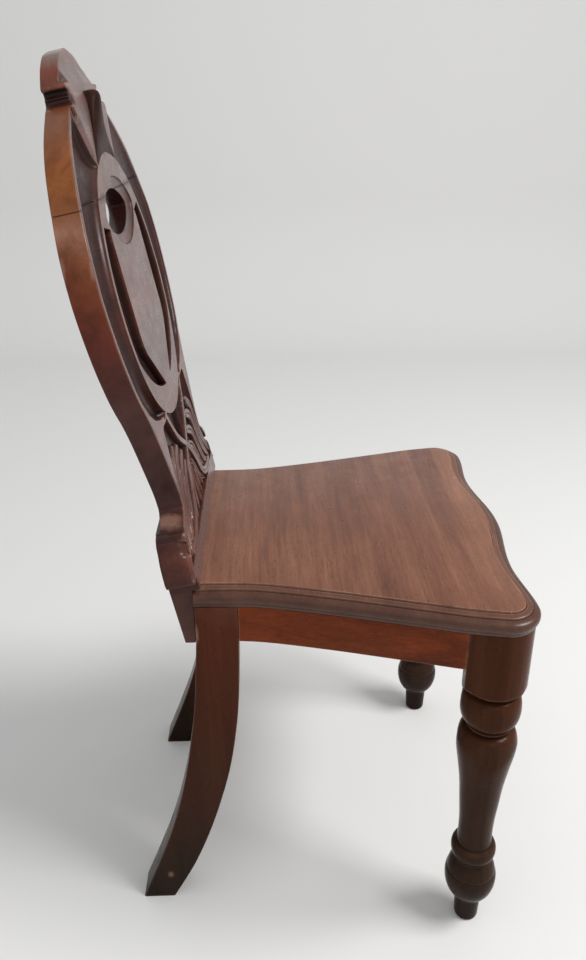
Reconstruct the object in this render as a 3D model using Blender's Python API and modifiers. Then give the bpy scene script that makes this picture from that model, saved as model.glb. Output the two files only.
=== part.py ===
import bpy
import bmesh
import math
from mathutils import Matrix, Vector

# Antique hall chair in mahogany: a solid moulded seat on turned front legs and sabre rear legs, and a carved
# back made of two boards glued edge to edge and screwed on from behind. Metres, +Z up, the sitter faces -Y.
# Inside the script Y = 0 is the axis of the front legs. A parent empty then moves the whole chair, so that
# its origin is on the floor under the middle of its box.

# Fits
GAP = 0.0003
CUT_OVERRUN = 0.004

# Seat board
SEAT_TOP = 0.431
SEAT_THICKNESS = 0.021
SEAT_HALF_WIDTH = 0.2130
SEAT_REAR_OVERHANG = 0.0025
SEAT_FRONT_REACH = 0.0415
SEAT_DIP_REACH = 0.0305
SEAT_CORNER_REACH = 0.0370
SEAT_CORNER_RADIUS = 0.034
MOULDING_WIDTH = 0.0155

# Seat rails
RAIL_DEPTH = 0.042
RAIL_THICKNESS = 0.022
RAIL_SETBACK = 0.0032
FRONT_RAIL_SETBACK = 0.0085
TENON_THICKNESS = 0.008
TENON_LENGTH = 0.016
TENON_SHOULDER = 0.006

# Front legs, from the floor up. The shaft takes what height the other lengths leave.
FRONT_LEG_INSET = 0.0325
BLOCK_INNER_REACH = 0.0305
BLOCK_REAR_Y = 0.035
BLOCK_DROP = 0.0342
BLOCK_CORNER_RADIUS = 0.050
POMMEL_HEIGHT = 0.025
POMMEL_FOOT_RADIUS = 0.0270
TOE_HEIGHT = 0.0355
TOE_RADIUS = 0.0148
BULB_HEIGHT = 0.057
BULB_RADIUS = 0.0286
COLLAR_HEIGHT = 0.0255
COLLAR_RADIUS = 0.0247
SHAFT_RADIUS = 0.0313
NECK_HEIGHT = 0.0075
NECK_RADIUS = 0.0232
TORUS_HEIGHT = 0.0385
TORUS_RADIUS = 0.0309
UPPER_NECK_HEIGHT = 0.006
UPPER_NECK_RADIUS = 0.0240
TURNING_SIDES = 24

# Rear legs
REAR_LEG_X = 0.148
REAR_LEG_THICKNESS = 0.0355
REAR_LEG_EDGE_ROUND = 0.0015
REAR_BLOCK_BACK = 0.2979
REAR_BLOCK_WIDTH = 0.0436
REAR_FOOT_REACH = 0.0814
REAR_FOOT_WIDTH = 0.0368

# Back
BACK_LIP = 0.0069
BACK_RECLINE = math.radians(11.38)
BACK_THICKNESS = 0.0246
BASE_STEP = 0.0049
FRAME_HALF_WIDTH = 0.1838
FRAME_TOP = 0.4386
FRAME_FILLET = 0.006
CREST_HEIGHT = 0.0504
CREST_INSET = 0.0082
CREST_SETBACK = 0.0088
RELIEF_DEPTH = 0.0085

# Ring, shield and hand-hold. Their heights are measured from the frame's top, the ring's centre or the hole.
RING_DROP = 0.1691
GROOVE_WIDTH = 0.0493
RING_BAND = 0.006
RING_FOOT_HEIGHT = 0.0307
RING_FOOT_RISE = 0.0526
RECESS_WIDTH = 0.046
SHIELD_TIP_HALF_WIDTH = 0.0176
SHIELD_TOP_DROP = 0.0125
TONGUE_INSET = 0.0075
TONGUE_FOOT_HALF_WIDTH = 0.0475
HOLE_RISE = 0.0760
JOINT_RISE = 0.0188
HOLE_HALF_WIDTH = 0.0598
HOLE_HALF_HEIGHT = 0.0206
DISH_HALF_WIDTH = 0.0735
DISH_HALF_HEIGHT = 0.0314
DISH_DEPTH = 0.005

# Half-round roll on the tongue
ROLL_HALF_WIDTH = 0.0196
ROLL_HEIGHT = 0.0108
ROLL_EDGE = 0.0010
ROLL_DROP = 0.0356
ROLL_RISE = 0.0159

# Corner blocks and screws
BLOCK_DEPTH = 0.030
FRONT_BLOCK_ON_SIDE = 0.055
FRONT_BLOCK_ON_FRONT = 0.060
REAR_BLOCK_LENGTH = 0.050
SCREW_SHANK_RADIUS = 0.0021
SCREW_HEAD_RADIUS = 0.0042
SCREW_HEAD_HEIGHT = 0.0028
SCREW_SLOT_WIDTH = 0.0009
SCREW_SINK = 0.0015
COUNTERBORE = 0.025
BLOCK_SCREW_LENGTH = 0.030
SEAT_SCREW_LENGTH = 0.038
BACK_SCREW_LENGTH = 0.028
BACK_SCREW_RISE = 0.022

# Dowels in the glue joint of the back
DOWEL_RADIUS = 0.004
DOWEL_LENGTH = 0.040
DOWEL_FROM_HOLE = 0.038
DOWEL_FROM_EDGE = 0.024

# Shares that the levels below need: the base's height and the frame's half width where the crest starts
BASE_TOP_SHARE = 0.139
FRAME_HEAD_SHARE = 0.430

# Levels and places that follow from the sizes above
SEAT_UNDER = SEAT_TOP - SEAT_THICKNESS
RAIL_TOP = SEAT_UNDER - GAP
RAIL_BOTTOM = RAIL_TOP - RAIL_DEPTH
POMMEL_FOOT = RAIL_BOTTOM - BLOCK_DROP
FRONT_LEG_X = SEAT_HALF_WIDTH - FRONT_LEG_INSET
BLOCK_INNER_X = FRONT_LEG_X - BLOCK_INNER_REACH
SEAT_REAR_HALF_WIDTH = REAR_LEG_X + SEAT_REAR_OVERHANG
SEAT_REAR_Y = REAR_BLOCK_BACK
REAR_LEG_INNER_X = REAR_LEG_X - REAR_LEG_THICKNESS
REAR_BLOCK_FRONT = REAR_BLOCK_BACK - REAR_BLOCK_WIDTH
REAR_FOOT_BACK = REAR_BLOCK_BACK + REAR_FOOT_REACH
REAR_FOOT_FRONT = REAR_FOOT_BACK - REAR_FOOT_WIDTH
REAR_RAIL_FRONT = REAR_BLOCK_BACK - RAIL_THICKNESS
BACK_FOOT_Y = REAR_BLOCK_BACK - BACK_LIP
BASE_THICKNESS = BACK_THICKNESS + BASE_STEP
BASE_TOP = FRAME_TOP * BASE_TOP_SHARE
CREST_TOP = FRAME_TOP + CREST_HEIGHT
CREST_HALF_WIDTH = FRAME_HALF_WIDTH * FRAME_HEAD_SHARE - CREST_INSET
RING_CENTRE = FRAME_TOP - RING_DROP
RING_OUTER_RADIUS = FRAME_HALF_WIDTH - FRAME_FILLET - GROOVE_WIDTH
RING_INNER_RADIUS = RING_OUTER_RADIUS - RING_BAND
RING_FOOT_CENTRE = RING_CENTRE + RING_FOOT_RISE
RING_FOOT_RADIUS = RING_FOOT_RISE + RING_OUTER_RADIUS - RING_FOOT_HEIGHT
SHIELD_HALF_WIDTH = RING_INNER_RADIUS - RECESS_WIDTH
HOLE_CENTRE = RING_CENTRE + HOLE_RISE
BOARD_JOINT = HOLE_CENTRE + JOINT_RISE
REARMOST = BACK_FOOT_Y + CREST_TOP * math.sin(BACK_RECLINE) + BACK_THICKNESS * math.cos(BACK_RECLINE)
MIDDLE_Y = (REARMOST - SEAT_FRONT_REACH) / 2

# The seat's side, from the front corner to the rear: shares of the side's length and of its narrowing
SEAT_SIDE_SHARES = (
    (0.00, 0.000), (0.12, 0.110), (0.26, 0.300), (0.42, 0.520), (0.57, 0.715),
    (0.74, 0.910), (0.85, 0.985), (1.00, 1.000),
)

# The seat's moulded edge, from its underside up: shares of the moulding's width and of the seat's thickness
SEAT_EDGE_SHARES = (
    (0.20, 0.00), (0.19, 0.16), (0.08, 0.24), (0.01, 0.36), (0.00, 0.47), (0.05, 0.60),
    (0.20, 0.71), (0.42, 0.78), (0.50, 0.83), (0.93, 0.89), (1.00, 1.00),
)

# Turned sections of a front leg, from the top of each down: shares of its radius and of its height
POMMEL_SHARES = ((1.00, 1.00), (0.80, 0.66), (0.56, 0.40), (0.34, 0.20), (0.14, 0.06), (0.00, 0.00))
UPPER_NECK_SHARES = ((0.92, 0.97), (1.00, 0.75), (1.00, 0.42), (0.93, 0.15))
TORUS_SHARES = ((0.76, 0.98), (0.90, 0.90), (0.975, 0.74), (1.00, 0.50), (0.975, 0.28), (0.90, 0.12), (0.74, 0.02))
NECK_SHARES = ((0.93, 0.98), (0.93, 0.72), (1.00, 0.55), (1.00, 0.34), (0.93, 0.12))
SHAFT_SHARES = (
    (0.770, 1.000), (0.875, 0.982), (0.962, 0.945), (1.000, 0.892), (0.965, 0.810), (0.855, 0.680),
    (0.750, 0.540), (0.680, 0.380), (0.612, 0.210), (0.597, 0.105), (0.585, 0.030),
)
COLLAR_SHARES = (
    (0.76, 1.00), (0.82, 0.92), (0.95, 0.86), (1.00, 0.72), (1.00, 0.46), (0.95, 0.30), (0.86, 0.22), (0.78, 0.06),
)
BULB_SHARES = (
    (0.66, 0.99), (0.80, 0.90), (0.90, 0.78), (0.93, 0.70), (0.985, 0.67), (1.00, 0.56), (0.98, 0.42),
    (0.91, 0.26), (0.78, 0.12), (0.62, 0.03), (0.46, 0.00),
)
TOE_SHARES = ((1.00, 0.97), (0.93, 0.50), (0.88, 0.12), (0.82, 0.03), (0.70, 0.00), (0.00, 0.00))

# A rear leg below its block: share of the height, and how far its front and rear lines have swept back
SABRE_SHARES = (
    (1.00, 0.000, 0.000), (0.80, 0.030, 0.065), (0.667, 0.086, 0.142), (0.533, 0.178, 0.240),
    (0.40, 0.318, 0.372), (0.267, 0.492, 0.545), (0.133, 0.715, 0.765), (0.00, 1.000, 1.000),
)

# Right half of the back's outline above the tail: shares of the frame's half width and height. First the
# ledge under the ear, then the ear, the frame from the waist up, and the crest in shares of its own size.
LEDGE_SHARE = 0.031
EAR_SHARES = ((0.854, 0.027), (0.851, 0.056), (0.811, 0.100), (0.745, 0.135), (0.658, 0.157), (0.607, 0.174))
FRAME_SHARES = (
    (0.607, 0.174), (0.612, 0.205), (0.640, 0.246), (0.707, 0.324), (0.750, 0.369), (0.805, 0.413),
    (0.862, 0.449), (0.914, 0.4915), (0.971, 0.563), (1.000, 0.645), (0.9945, 0.702), (0.958, 0.763),
    (0.885, 0.821), (0.765, 0.894), (0.622, 0.950), (FRAME_HEAD_SHARE, 1.000),
)
CREST_SHARES = ((0.932, 0.119), (0.990, 0.228), (1.000, 0.325), (0.965, 0.405), (0.819, 0.577), (0.650, 0.736),
                (0.381, 0.907), (0.000, 1.000))

# The crest's face rolls back: shares of its setback and of the crest's height above the frame's top
CREST_FACE_SHARES = ((0.00, -0.044), (0.14, 0.167), (0.29, 0.250), (0.31, 0.365), (0.80, 0.400), (1.00, 0.430),
                     (1.00, 1.250))

# The groove between ring and frame, from its foot up: shares of its turn round the ring, and of the way from
# the ring to the frame that it fills there
GROOVE_SHARES = ((0.00, 0.00), (0.06, 0.16), (0.12, 0.42), (0.17, 0.70), (0.22, 0.91), (0.28, 1.00), (1.00, 1.00))
GROOVE_FOOT_ANGLE = -60
SHIELD_TAPER_SLOPE = 0.895

# Screws through the tail into the rear rail: shares of the rail's half length
BACK_SCREW_SHARES = (0.55, 0.18)

for old in list(bpy.data.objects):
    bpy.data.objects.remove(old, do_unlink=True)

chair = bpy.data.collections.new("hall_chair")
cutters = bpy.data.collections.new("cutters")
bpy.context.scene.collection.children.link(chair)
bpy.context.scene.collection.children.link(cutters)

origin = bpy.data.objects.new("origin", None)
origin.location = (0, -MIDDLE_Y, 0)
chair.objects.link(origin)
back_plane = bpy.data.objects.new("back_plane", None)
back_plane.parent = origin
back_plane.location = (0, BACK_FOOT_Y, SEAT_TOP)
back_plane.rotation_euler = (-BACK_RECLINE, 0, 0)
chair.objects.link(back_plane)


def finish(name, colour, roughness, metallic=0):
    """A material with one colour, roughness and metallic value."""
    material = bpy.data.materials.new(name)
    material.use_nodes = True
    shader = material.node_tree.nodes["Principled BSDF"]
    shader.inputs["Base Color"].default_value = (*colour, 1)
    shader.inputs["Roughness"].default_value = roughness
    shader.inputs["Metallic"].default_value = metallic
    return material


SEAT_WOOD = finish("seat_mahogany", (0.23, 0.105, 0.06), 0.28)
RAIL_WOOD = finish("rail_mahogany", (0.20, 0.065, 0.03), 0.30)
LEG_WOOD = finish("leg_mahogany", (0.070, 0.028, 0.017), 0.25)
BACK_WOOD = finish("back_mahogany", (0.15, 0.055, 0.028), 0.25)
BLOCK_WOOD = finish("block_beech", (0.38, 0.24, 0.13), 0.65)
DOWEL_WOOD = finish("dowel_beech", (0.48, 0.33, 0.19), 0.70)
SCREW_STEEL = finish("screw_steel", (0.30, 0.27, 0.24), 0.45, 1)


def new_mesh(name, bm):
    mesh = bpy.data.meshes.new(name)
    bm.normal_update()
    bm.to_mesh(mesh)
    bm.free()
    return mesh


def piece(name, mesh, material, parent=origin):
    """A named sub-part of the chair."""
    part = bpy.data.objects.new(name, mesh)
    part.parent = parent
    mesh.materials.clear()
    mesh.materials.append(material)
    chair.objects.link(part)
    return part


def copies(name, mesh, material, places, parent=origin):
    """The same sub-part at several places, numbered from 1. All share one mesh."""
    for number, place in enumerate(places, 1):
        piece(name + "_" + str(number), mesh, material, parent).matrix_local = place


def cutter(name, mesh, parent=origin):
    """A shape that only cuts other shapes or joins them."""
    tool = bpy.data.objects.new(name, mesh)
    tool.parent = parent
    tool.hide_render = True
    tool.display_type = "WIRE"
    cutters.objects.link(tool)
    return tool


def combine(target, tool, operation="DIFFERENCE"):
    step = target.modifiers.new(tool.name, "BOOLEAN")
    step.object = tool
    step.operation = operation
    step.solver = "EXACT"


def evaluated_mesh(source):
    bpy.context.view_layer.update()
    graph = bpy.context.evaluated_depsgraph_get()
    return bpy.data.meshes.new_from_object(source.evaluated_get(graph))


def flat_solid(name, outlines, low, high):
    """A solid between two heights from closed outlines in XY. An outline inside another one is a hole."""
    curve = bpy.data.curves.new(name, "CURVE")
    curve.dimensions = "2D"
    curve.fill_mode = "BOTH"
    curve.extrude = (high - low) / 2
    for outline in outlines:
        spline = curve.splines.new("POLY")
        spline.points.add(len(outline) - 1)
        for point, (x, y) in zip(spline.points, outline):
            point.co = (x, y, 0, 1)
        spline.use_cyclic_u = True
    holder = bpy.data.objects.new(name, curve)
    cutters.objects.link(holder)
    mesh = evaluated_mesh(holder)
    bpy.data.objects.remove(holder, do_unlink=True)
    bm = bmesh.new()
    bm.from_mesh(mesh)
    bmesh.ops.remove_doubles(bm, verts=bm.verts, dist=GAP / 10)
    bmesh.ops.recalc_face_normals(bm, faces=bm.faces)
    bmesh.ops.translate(bm, verts=bm.verts, vec=(0, 0, (high + low) / 2))
    return new_mesh(name, bm)


def board_solid(name, outlines, front, rear):
    """A solid of the back: outlines in X and up the back, between two depths behind its front plane."""
    mesh = flat_solid(name, outlines, -rear, -front)
    mesh.transform(Matrix.Rotation(math.radians(90), 4, "X"))
    return mesh


def side_solid(name, outline, left, right):
    """A solid from an outline in Y and Z, between two values of X."""
    mesh = flat_solid(name, [outline], left, right)
    mesh.transform(Matrix(((0, 0, 1, 0), (1, 0, 0, 0), (0, 1, 0, 0), (0, 0, 0, 1))))
    return mesh


def box_mesh(name, low, high):
    bm = bmesh.new()
    bmesh.ops.create_cube(bm, size=1)
    size = Vector(high) - Vector(low)
    middle = (Vector(high) + Vector(low)) / 2
    bmesh.ops.transform(bm, matrix=Matrix.Translation(middle) @ Matrix.Diagonal((*size, 1)), verts=bm.verts)
    return new_mesh(name, bm)


def loft(name, rings):
    """Closed rings of equally many points, bridged one to the next and capped at both ends."""
    bm = bmesh.new()
    rows = [[bm.verts.new(point) for point in ring] for ring in rings]
    count = len(rows[0])
    for lower, upper in zip(rows, rows[1:]):
        for i in range(count):
            j = (i + 1) % count
            bm.faces.new((lower[i], lower[j], upper[j], upper[i]))
    bm.faces.new(reversed(rows[0]))
    bm.faces.new(rows[-1])
    bmesh.ops.recalc_face_normals(bm, faces=bm.faces)
    bmesh.ops.triangulate(bm, faces=[face for face in bm.faces if len(face.verts) > 4])
    return new_mesh(name, bm)


def turned(name, profile, sides):
    """A solid turned round Z from a profile of (radius, height), top to bottom, that starts and ends on the axis."""
    mesh = bpy.data.meshes.new(name)
    points = [(radius, 0, height) for radius, height in profile]
    mesh.from_pydata(points, [(i, i + 1) for i in range(len(points) - 1)], [])
    holder = bpy.data.objects.new(name, mesh)
    cutters.objects.link(holder)
    screw = holder.modifiers.new("turning", "SCREW")
    screw.steps = sides
    screw.render_steps = sides
    screw.use_merge_vertices = True
    screw.merge_threshold = GAP / 10
    result = evaluated_mesh(holder)
    bpy.data.objects.remove(holder, do_unlink=True)
    return result


def shade(part, degrees=35):
    """Smooth shading, with edges sharper than an angle kept sharp."""
    part.data.shade_smooth()
    part.data.set_sharp_from_angle(angle=math.radians(degrees))


def smooth_path(points, steps):
    """A Catmull-Rom curve through the points, with so many steps between neighbours."""
    path = []
    last = len(points) - 1
    for i in range(last):
        before, start, end, after = (Vector(points[max(0, min(last, i + k))]) for k in (-1, 0, 1, 2))
        for step in range(steps):
            t = step / steps
            path.append(0.5 * (2 * start + (end - before) * t
                               + (2 * before - 5 * start + 4 * end - after) * t ** 2
                               + (3 * start - before - 3 * end + after) * t ** 3))
    path.append(Vector(points[-1]))
    return path


def arc(centre, radii, start, end, steps):
    """Points on an arc of an ellipse, angles in degrees."""
    angles = [math.radians(start + (end - start) * i / steps) for i in range(steps + 1)]
    return [Vector((centre[0] + radii[0] * math.cos(a), centre[1] + radii[1] * math.sin(a))) for a in angles]


def offset_path(path, distance):
    """An open path moved to its left by a distance."""
    moved = []
    last = len(path) - 1
    for i, point in enumerate(path):
        along = (path[min(last, i + 1)] - path[max(0, i - 1)]).normalized()
        moved.append(point + Vector((-along.y, along.x)) * distance)
    return moved


def mirrored(half):
    """A closed outline from its right half, which runs from the middle line round to the middle line."""
    left = [Vector((-point.x, point.y)) for point in reversed(half) if abs(point.x) > GAP / 10]
    return list(half) + left


def flipped(outline):
    """The same outline on the left side."""
    return [Vector((-point.x, point.y)) for point in reversed(outline)]


def screw_mesh(name, length, slack=0.0, run=0.0):
    """A countersunk screw along -Z with its head at Z = 0. Slack and run make the hole that it lies in."""
    head = SCREW_HEAD_RADIUS + slack
    shank = SCREW_SHANK_RADIUS + slack
    profile = [(0, run), (head, run)]
    if run:
        profile.append((head, -slack))
    profile += [(shank, -SCREW_HEAD_HEIGHT - slack), (shank, SCREW_HEAD_RADIUS - length), (0, -length - slack)]
    return turned(name, profile, 12)


def slotted_screw(name, length):
    """A screw with its driving slot."""
    screw = cutter(name, screw_mesh(name, length))
    depth = SCREW_HEAD_HEIGHT / 2
    reach = SCREW_HEAD_RADIUS + CUT_OVERRUN
    slot = cutter("slot", box_mesh("slot", (-reach, -SCREW_SLOT_WIDTH / 2, -depth),
                                   (reach, SCREW_SLOT_WIDTH / 2, depth)))
    combine(screw, slot)
    result = evaluated_mesh(screw)
    bpy.data.objects.remove(screw, do_unlink=True)
    bpy.data.objects.remove(slot, do_unlink=True)
    return result


def placed(name, mesh, places):
    """One mesh with a copy of another at each place."""
    bm = bmesh.new()
    for place in places:
        copy = mesh.copy()
        copy.transform(place)
        bm.from_mesh(copy)
        bpy.data.meshes.remove(copy)
    return new_mesh(name, bm)


def driven(head, direction):
    """The matrix of a screw with its head at a point, driven along a direction."""
    turn = Vector((0, 0, -1)).rotation_difference(Vector(direction))
    return Matrix.Translation(head) @ turn.to_matrix().to_4x4()


# Plan of the seat: its edge from the rear right corner, forward round the front, to the rear left corner
def seat_path():
    corner = Vector((SEAT_HALF_WIDTH - SEAT_CORNER_RADIUS, SEAT_CORNER_RADIUS - SEAT_CORNER_REACH))
    narrowing = SEAT_HALF_WIDTH - SEAT_REAR_HALF_WIDTH
    side = [Vector((SEAT_HALF_WIDTH - narrowing * across, corner.y + (SEAT_REAR_Y - corner.y) * back))
            for back, across in SEAT_SIDE_SHARES]
    bend = arc(corner, (SEAT_CORNER_RADIUS, SEAT_CORNER_RADIUS), 0, -90, 8)
    dip_x = SEAT_HALF_WIDTH / 2
    front = []
    for step in range(1, 18):
        x = corner.x * (1 - step / 17)
        centre_swell = (SEAT_FRONT_REACH - SEAT_DIP_REACH) * (1 + math.cos(math.pi * min(x / dip_x, 1))) / 2
        rise = max(0, (x - dip_x) / (corner.x - dip_x))
        corner_swell = (SEAT_CORNER_REACH - SEAT_DIP_REACH) * (3 - 2 * rise) * rise ** 2
        front.append(Vector((x, -(SEAT_DIP_REACH + centre_swell + corner_swell))))
    half = list(reversed(smooth_path(side, 3)))[:-1] + bend + front
    return half + [Vector((-point.x, point.y)) for point in reversed(half[:-1])]


SEAT_PATH = seat_path()
RAIL_FACE = offset_path(SEAT_PATH, -RAIL_SETBACK)
RAIL_INSIDE = offset_path(SEAT_PATH, -RAIL_SETBACK - RAIL_THICKNESS)
FRONT_RAIL_FACE = offset_path(SEAT_PATH, -FRONT_RAIL_SETBACK)
FRONT_RAIL_INSIDE = offset_path(SEAT_PATH, -FRONT_RAIL_SETBACK - RAIL_THICKNESS)


def side_x(path, y):
    """The X of a path's right side at a Y."""
    for first, second in zip(path, path[1:]):
        if first.y >= y > second.y and first.x > 0:
            return first.x + (second.x - first.x) * (y - first.y) / (second.y - first.y)
    return path[0].x


def front_y(path, x):
    """The Y of a path's front at an X, on the right side."""
    for first, second in zip(path, path[1:]):
        if first.x >= x > second.x and first.y < BLOCK_REAR_Y / 2:
            return first.y + (second.y - first.y) * (x - first.x) / (second.x - first.x)
    return path[len(path) // 2].y


def side_stretch(path, rear, front):
    """The right side of a path between two values of Y, running forward."""
    between = [point for point in path if point.x > 0 and front < point.y < rear]
    return [Vector((side_x(path, rear), rear))] + between + [Vector((side_x(path, front), front))]


def front_stretch(path, reach):
    """The front of a path between -reach and +reach in X, running from right to left."""
    between = [point for point in path if -reach < point.x < reach and point.y < BLOCK_REAR_Y / 2]
    end_y = front_y(path, reach)
    return [Vector((reach, end_y))] + between + [Vector((-reach, end_y))]


def tenon_box(name, low, high, slack=0.0):
    """A tenon, or with slack the mortise for it, from two corners in plan."""
    low_z = RAIL_BOTTOM + TENON_SHOULDER - slack
    high_z = RAIL_TOP - TENON_SHOULDER + slack
    return box_mesh(name, (low[0] - slack, low[1] - slack, low_z), (high[0] + slack, high[1] + slack, high_z))


# Tenons on the right side: low and high corners in plan. Each starts inside its rail, so that it joins it.
SIDE_TENON_FRONT_X = side_x(RAIL_FACE, BLOCK_REAR_Y) - RAIL_THICKNESS / 2
SIDE_TENON_REAR_X = side_x(RAIL_FACE, REAR_BLOCK_FRONT) - RAIL_THICKNESS / 2
FRONT_TENON_Y = front_y(FRONT_RAIL_FACE, BLOCK_INNER_X) + RAIL_THICKNESS / 2
REAR_TENON_Y = REAR_BLOCK_BACK - RAIL_THICKNESS / 2
HALF_TENON = TENON_THICKNESS / 2
TENONS = {
    "side_front": ((SIDE_TENON_FRONT_X - HALF_TENON, BLOCK_REAR_Y - TENON_LENGTH),
                   (SIDE_TENON_FRONT_X + HALF_TENON, BLOCK_REAR_Y + CUT_OVERRUN)),
    "side_rear": ((SIDE_TENON_REAR_X - HALF_TENON, REAR_BLOCK_FRONT - CUT_OVERRUN),
                  (SIDE_TENON_REAR_X + HALF_TENON, REAR_BLOCK_FRONT + TENON_LENGTH)),
    "front": ((BLOCK_INNER_X - CUT_OVERRUN, FRONT_TENON_Y - HALF_TENON),
              (BLOCK_INNER_X + TENON_LENGTH, FRONT_TENON_Y + HALF_TENON)),
    "rear": ((REAR_LEG_INNER_X - CUT_OVERRUN, REAR_TENON_Y - HALF_TENON),
             (REAR_LEG_INNER_X + TENON_LENGTH, REAR_TENON_Y + HALF_TENON)),
}


def tenon_corners(key, sign):
    """A tenon's corners on the right (+1) or the left (-1)."""
    low, high = TENONS[key]
    if sign > 0:
        return low, high
    return (-high[0], low[1]), (-low[0], high[1])


# Places of the screws, right side. A block's long face runs from the side rail to the front or rear rail.
FRONT_BLOCK_SIDE_END = Vector((side_x(RAIL_INSIDE, BLOCK_REAR_Y + FRONT_BLOCK_ON_SIDE),
                               BLOCK_REAR_Y + FRONT_BLOCK_ON_SIDE))
FRONT_BLOCK_RAIL_X = BLOCK_INNER_X - FRONT_BLOCK_ON_FRONT
FRONT_BLOCK_RAIL_END = Vector((FRONT_BLOCK_RAIL_X, front_y(FRONT_RAIL_INSIDE, FRONT_BLOCK_RAIL_X)))
REAR_BLOCK_SIDE_END = Vector((side_x(RAIL_INSIDE, REAR_BLOCK_FRONT - REAR_BLOCK_LENGTH),
                              REAR_BLOCK_FRONT - REAR_BLOCK_LENGTH))
REAR_BLOCK_RAIL_END = Vector((REAR_LEG_INNER_X - REAR_BLOCK_LENGTH, REAR_RAIL_FRONT))
FRONT_LEG_CORNER = Vector((BLOCK_INNER_X, BLOCK_REAR_Y))
REAR_LEG_CORNER = Vector((REAR_LEG_INNER_X, REAR_BLOCK_FRONT))
BLOCK_SCREW_SHARE = 0.20
BLOCK_MIDDLE_Z = RAIL_TOP - BLOCK_DEPTH / 2


def block_screw_places(side_end, rail_end, leg_corner, along_y, sign):
    """The screws of one corner block: one into the side rail, one into the other rail, one up into the seat."""
    to_rail = rail_end.lerp(side_end, BLOCK_SCREW_SHARE)
    to_side = side_end.lerp(rail_end, BLOCK_SCREW_SHARE)
    face = (side_end - rail_end).normalized()
    across = leg_corner - rail_end
    middle = rail_end + face * across.dot(face)
    upward = middle.lerp(leg_corner, 0.5)
    rails = [
        driven((sign * to_rail.x, to_rail.y + along_y * SCREW_SINK, BLOCK_MIDDLE_Z), (0, along_y, 0)),
        driven((sign * (to_side.x + SCREW_SINK), to_side.y, BLOCK_MIDDLE_Z), (sign, 0, 0)),
    ]
    seat = driven((sign * upward.x, upward.y, RAIL_TOP - BLOCK_DEPTH + SCREW_SINK), (0, 0, 1))
    return rails, seat


RAIL_SCREW_PLACES = []
SEAT_SCREW_PLACES = []
for side in (1, -1):
    front_rails, front_seat = block_screw_places(
        FRONT_BLOCK_SIDE_END, FRONT_BLOCK_RAIL_END, FRONT_LEG_CORNER, -1, side)
    rear_rails, rear_seat = block_screw_places(
        REAR_BLOCK_SIDE_END, REAR_BLOCK_RAIL_END, REAR_LEG_CORNER, 1, side)
    RAIL_SCREW_PLACES += front_rails + rear_rails
    SEAT_SCREW_PLACES += [front_seat, rear_seat]

BACK_SCREW_Z = RAIL_BOTTOM + BACK_SCREW_RISE
BACK_SCREW_HEAD_Y = (BACK_FOOT_Y + (BACK_SCREW_Z - SEAT_TOP) * math.tan(BACK_RECLINE)
                     + BASE_THICKNESS / math.cos(BACK_RECLINE) - SCREW_SINK)
BACK_SCREW_XS = [REAR_LEG_X - REAR_LEG_THICKNESS / 2] + [REAR_LEG_INNER_X * share for share in BACK_SCREW_SHARES]
BACK_SCREW_MATRICES = [driven((sign * x, BACK_SCREW_HEAD_Y, BACK_SCREW_Z), (0, -1, 0))
                       for x in BACK_SCREW_XS for sign in (1, -1)]

RAIL_SCREW_HOLES = cutter("rail_screw_holes", placed(
    "rail_screw_holes", screw_mesh("hole", BLOCK_SCREW_LENGTH, GAP, COUNTERBORE), RAIL_SCREW_PLACES))
SEAT_SCREW_HOLES = cutter("seat_screw_holes", placed(
    "seat_screw_holes", screw_mesh("hole", SEAT_SCREW_LENGTH, GAP, COUNTERBORE), SEAT_SCREW_PLACES))
BACK_SCREW_HOLES = cutter("back_screw_holes", placed(
    "back_screw_holes", screw_mesh("hole", BACK_SCREW_LENGTH, GAP, COUNTERBORE), BACK_SCREW_MATRICES))


# Seat board: one wide plank, its outline stacked in like sections that follow the moulded edge
def seat_ring(inset, height):
    ring = [(point.x, point.y, height) for point in offset_path(SEAT_PATH, -inset)]
    ring[0] = (ring[0][0], SEAT_REAR_Y, height)
    ring[-1] = (ring[-1][0], SEAT_REAR_Y, height)
    return ring


seat_board = piece("seat_board", loft("seat_board", [
    seat_ring(MOULDING_WIDTH * inset, SEAT_UNDER + SEAT_THICKNESS * rise) for inset, rise in SEAT_EDGE_SHARES
]), SEAT_WOOD)
combine(seat_board, SEAT_SCREW_HOLES)
shade(seat_board)


# Side rails: shaped to the seat's edge, tenoned into both legs
def side_rail(name, sign):
    rear = REAR_BLOCK_FRONT - GAP
    front = BLOCK_REAR_Y + GAP
    outline = side_stretch(RAIL_FACE, rear, front) + side_stretch(RAIL_INSIDE, rear, front)[::-1]
    if sign < 0:
        outline = flipped(outline)
    rail = piece(name, flat_solid(name, [outline], RAIL_BOTTOM, RAIL_TOP), RAIL_WOOD)
    for key in ("side_front", "side_rear"):
        tenon = cutter(name + "_" + key, tenon_box(key, *tenon_corners(key, sign)))
        combine(rail, tenon, "UNION")
    combine(rail, RAIL_SCREW_HOLES)


side_rail("seat_rail_right", -1)
side_rail("seat_rail_left", 1)


# Front rail: serpentine like the seat, set back under its edge
front_reach = BLOCK_INNER_X - GAP
front_outline = front_stretch(FRONT_RAIL_FACE, front_reach) + front_stretch(FRONT_RAIL_INSIDE, front_reach)[::-1]
seat_rail_front = piece("seat_rail_front", flat_solid(
    "seat_rail_front", [front_outline], RAIL_BOTTOM, RAIL_TOP), RAIL_WOOD)

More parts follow.
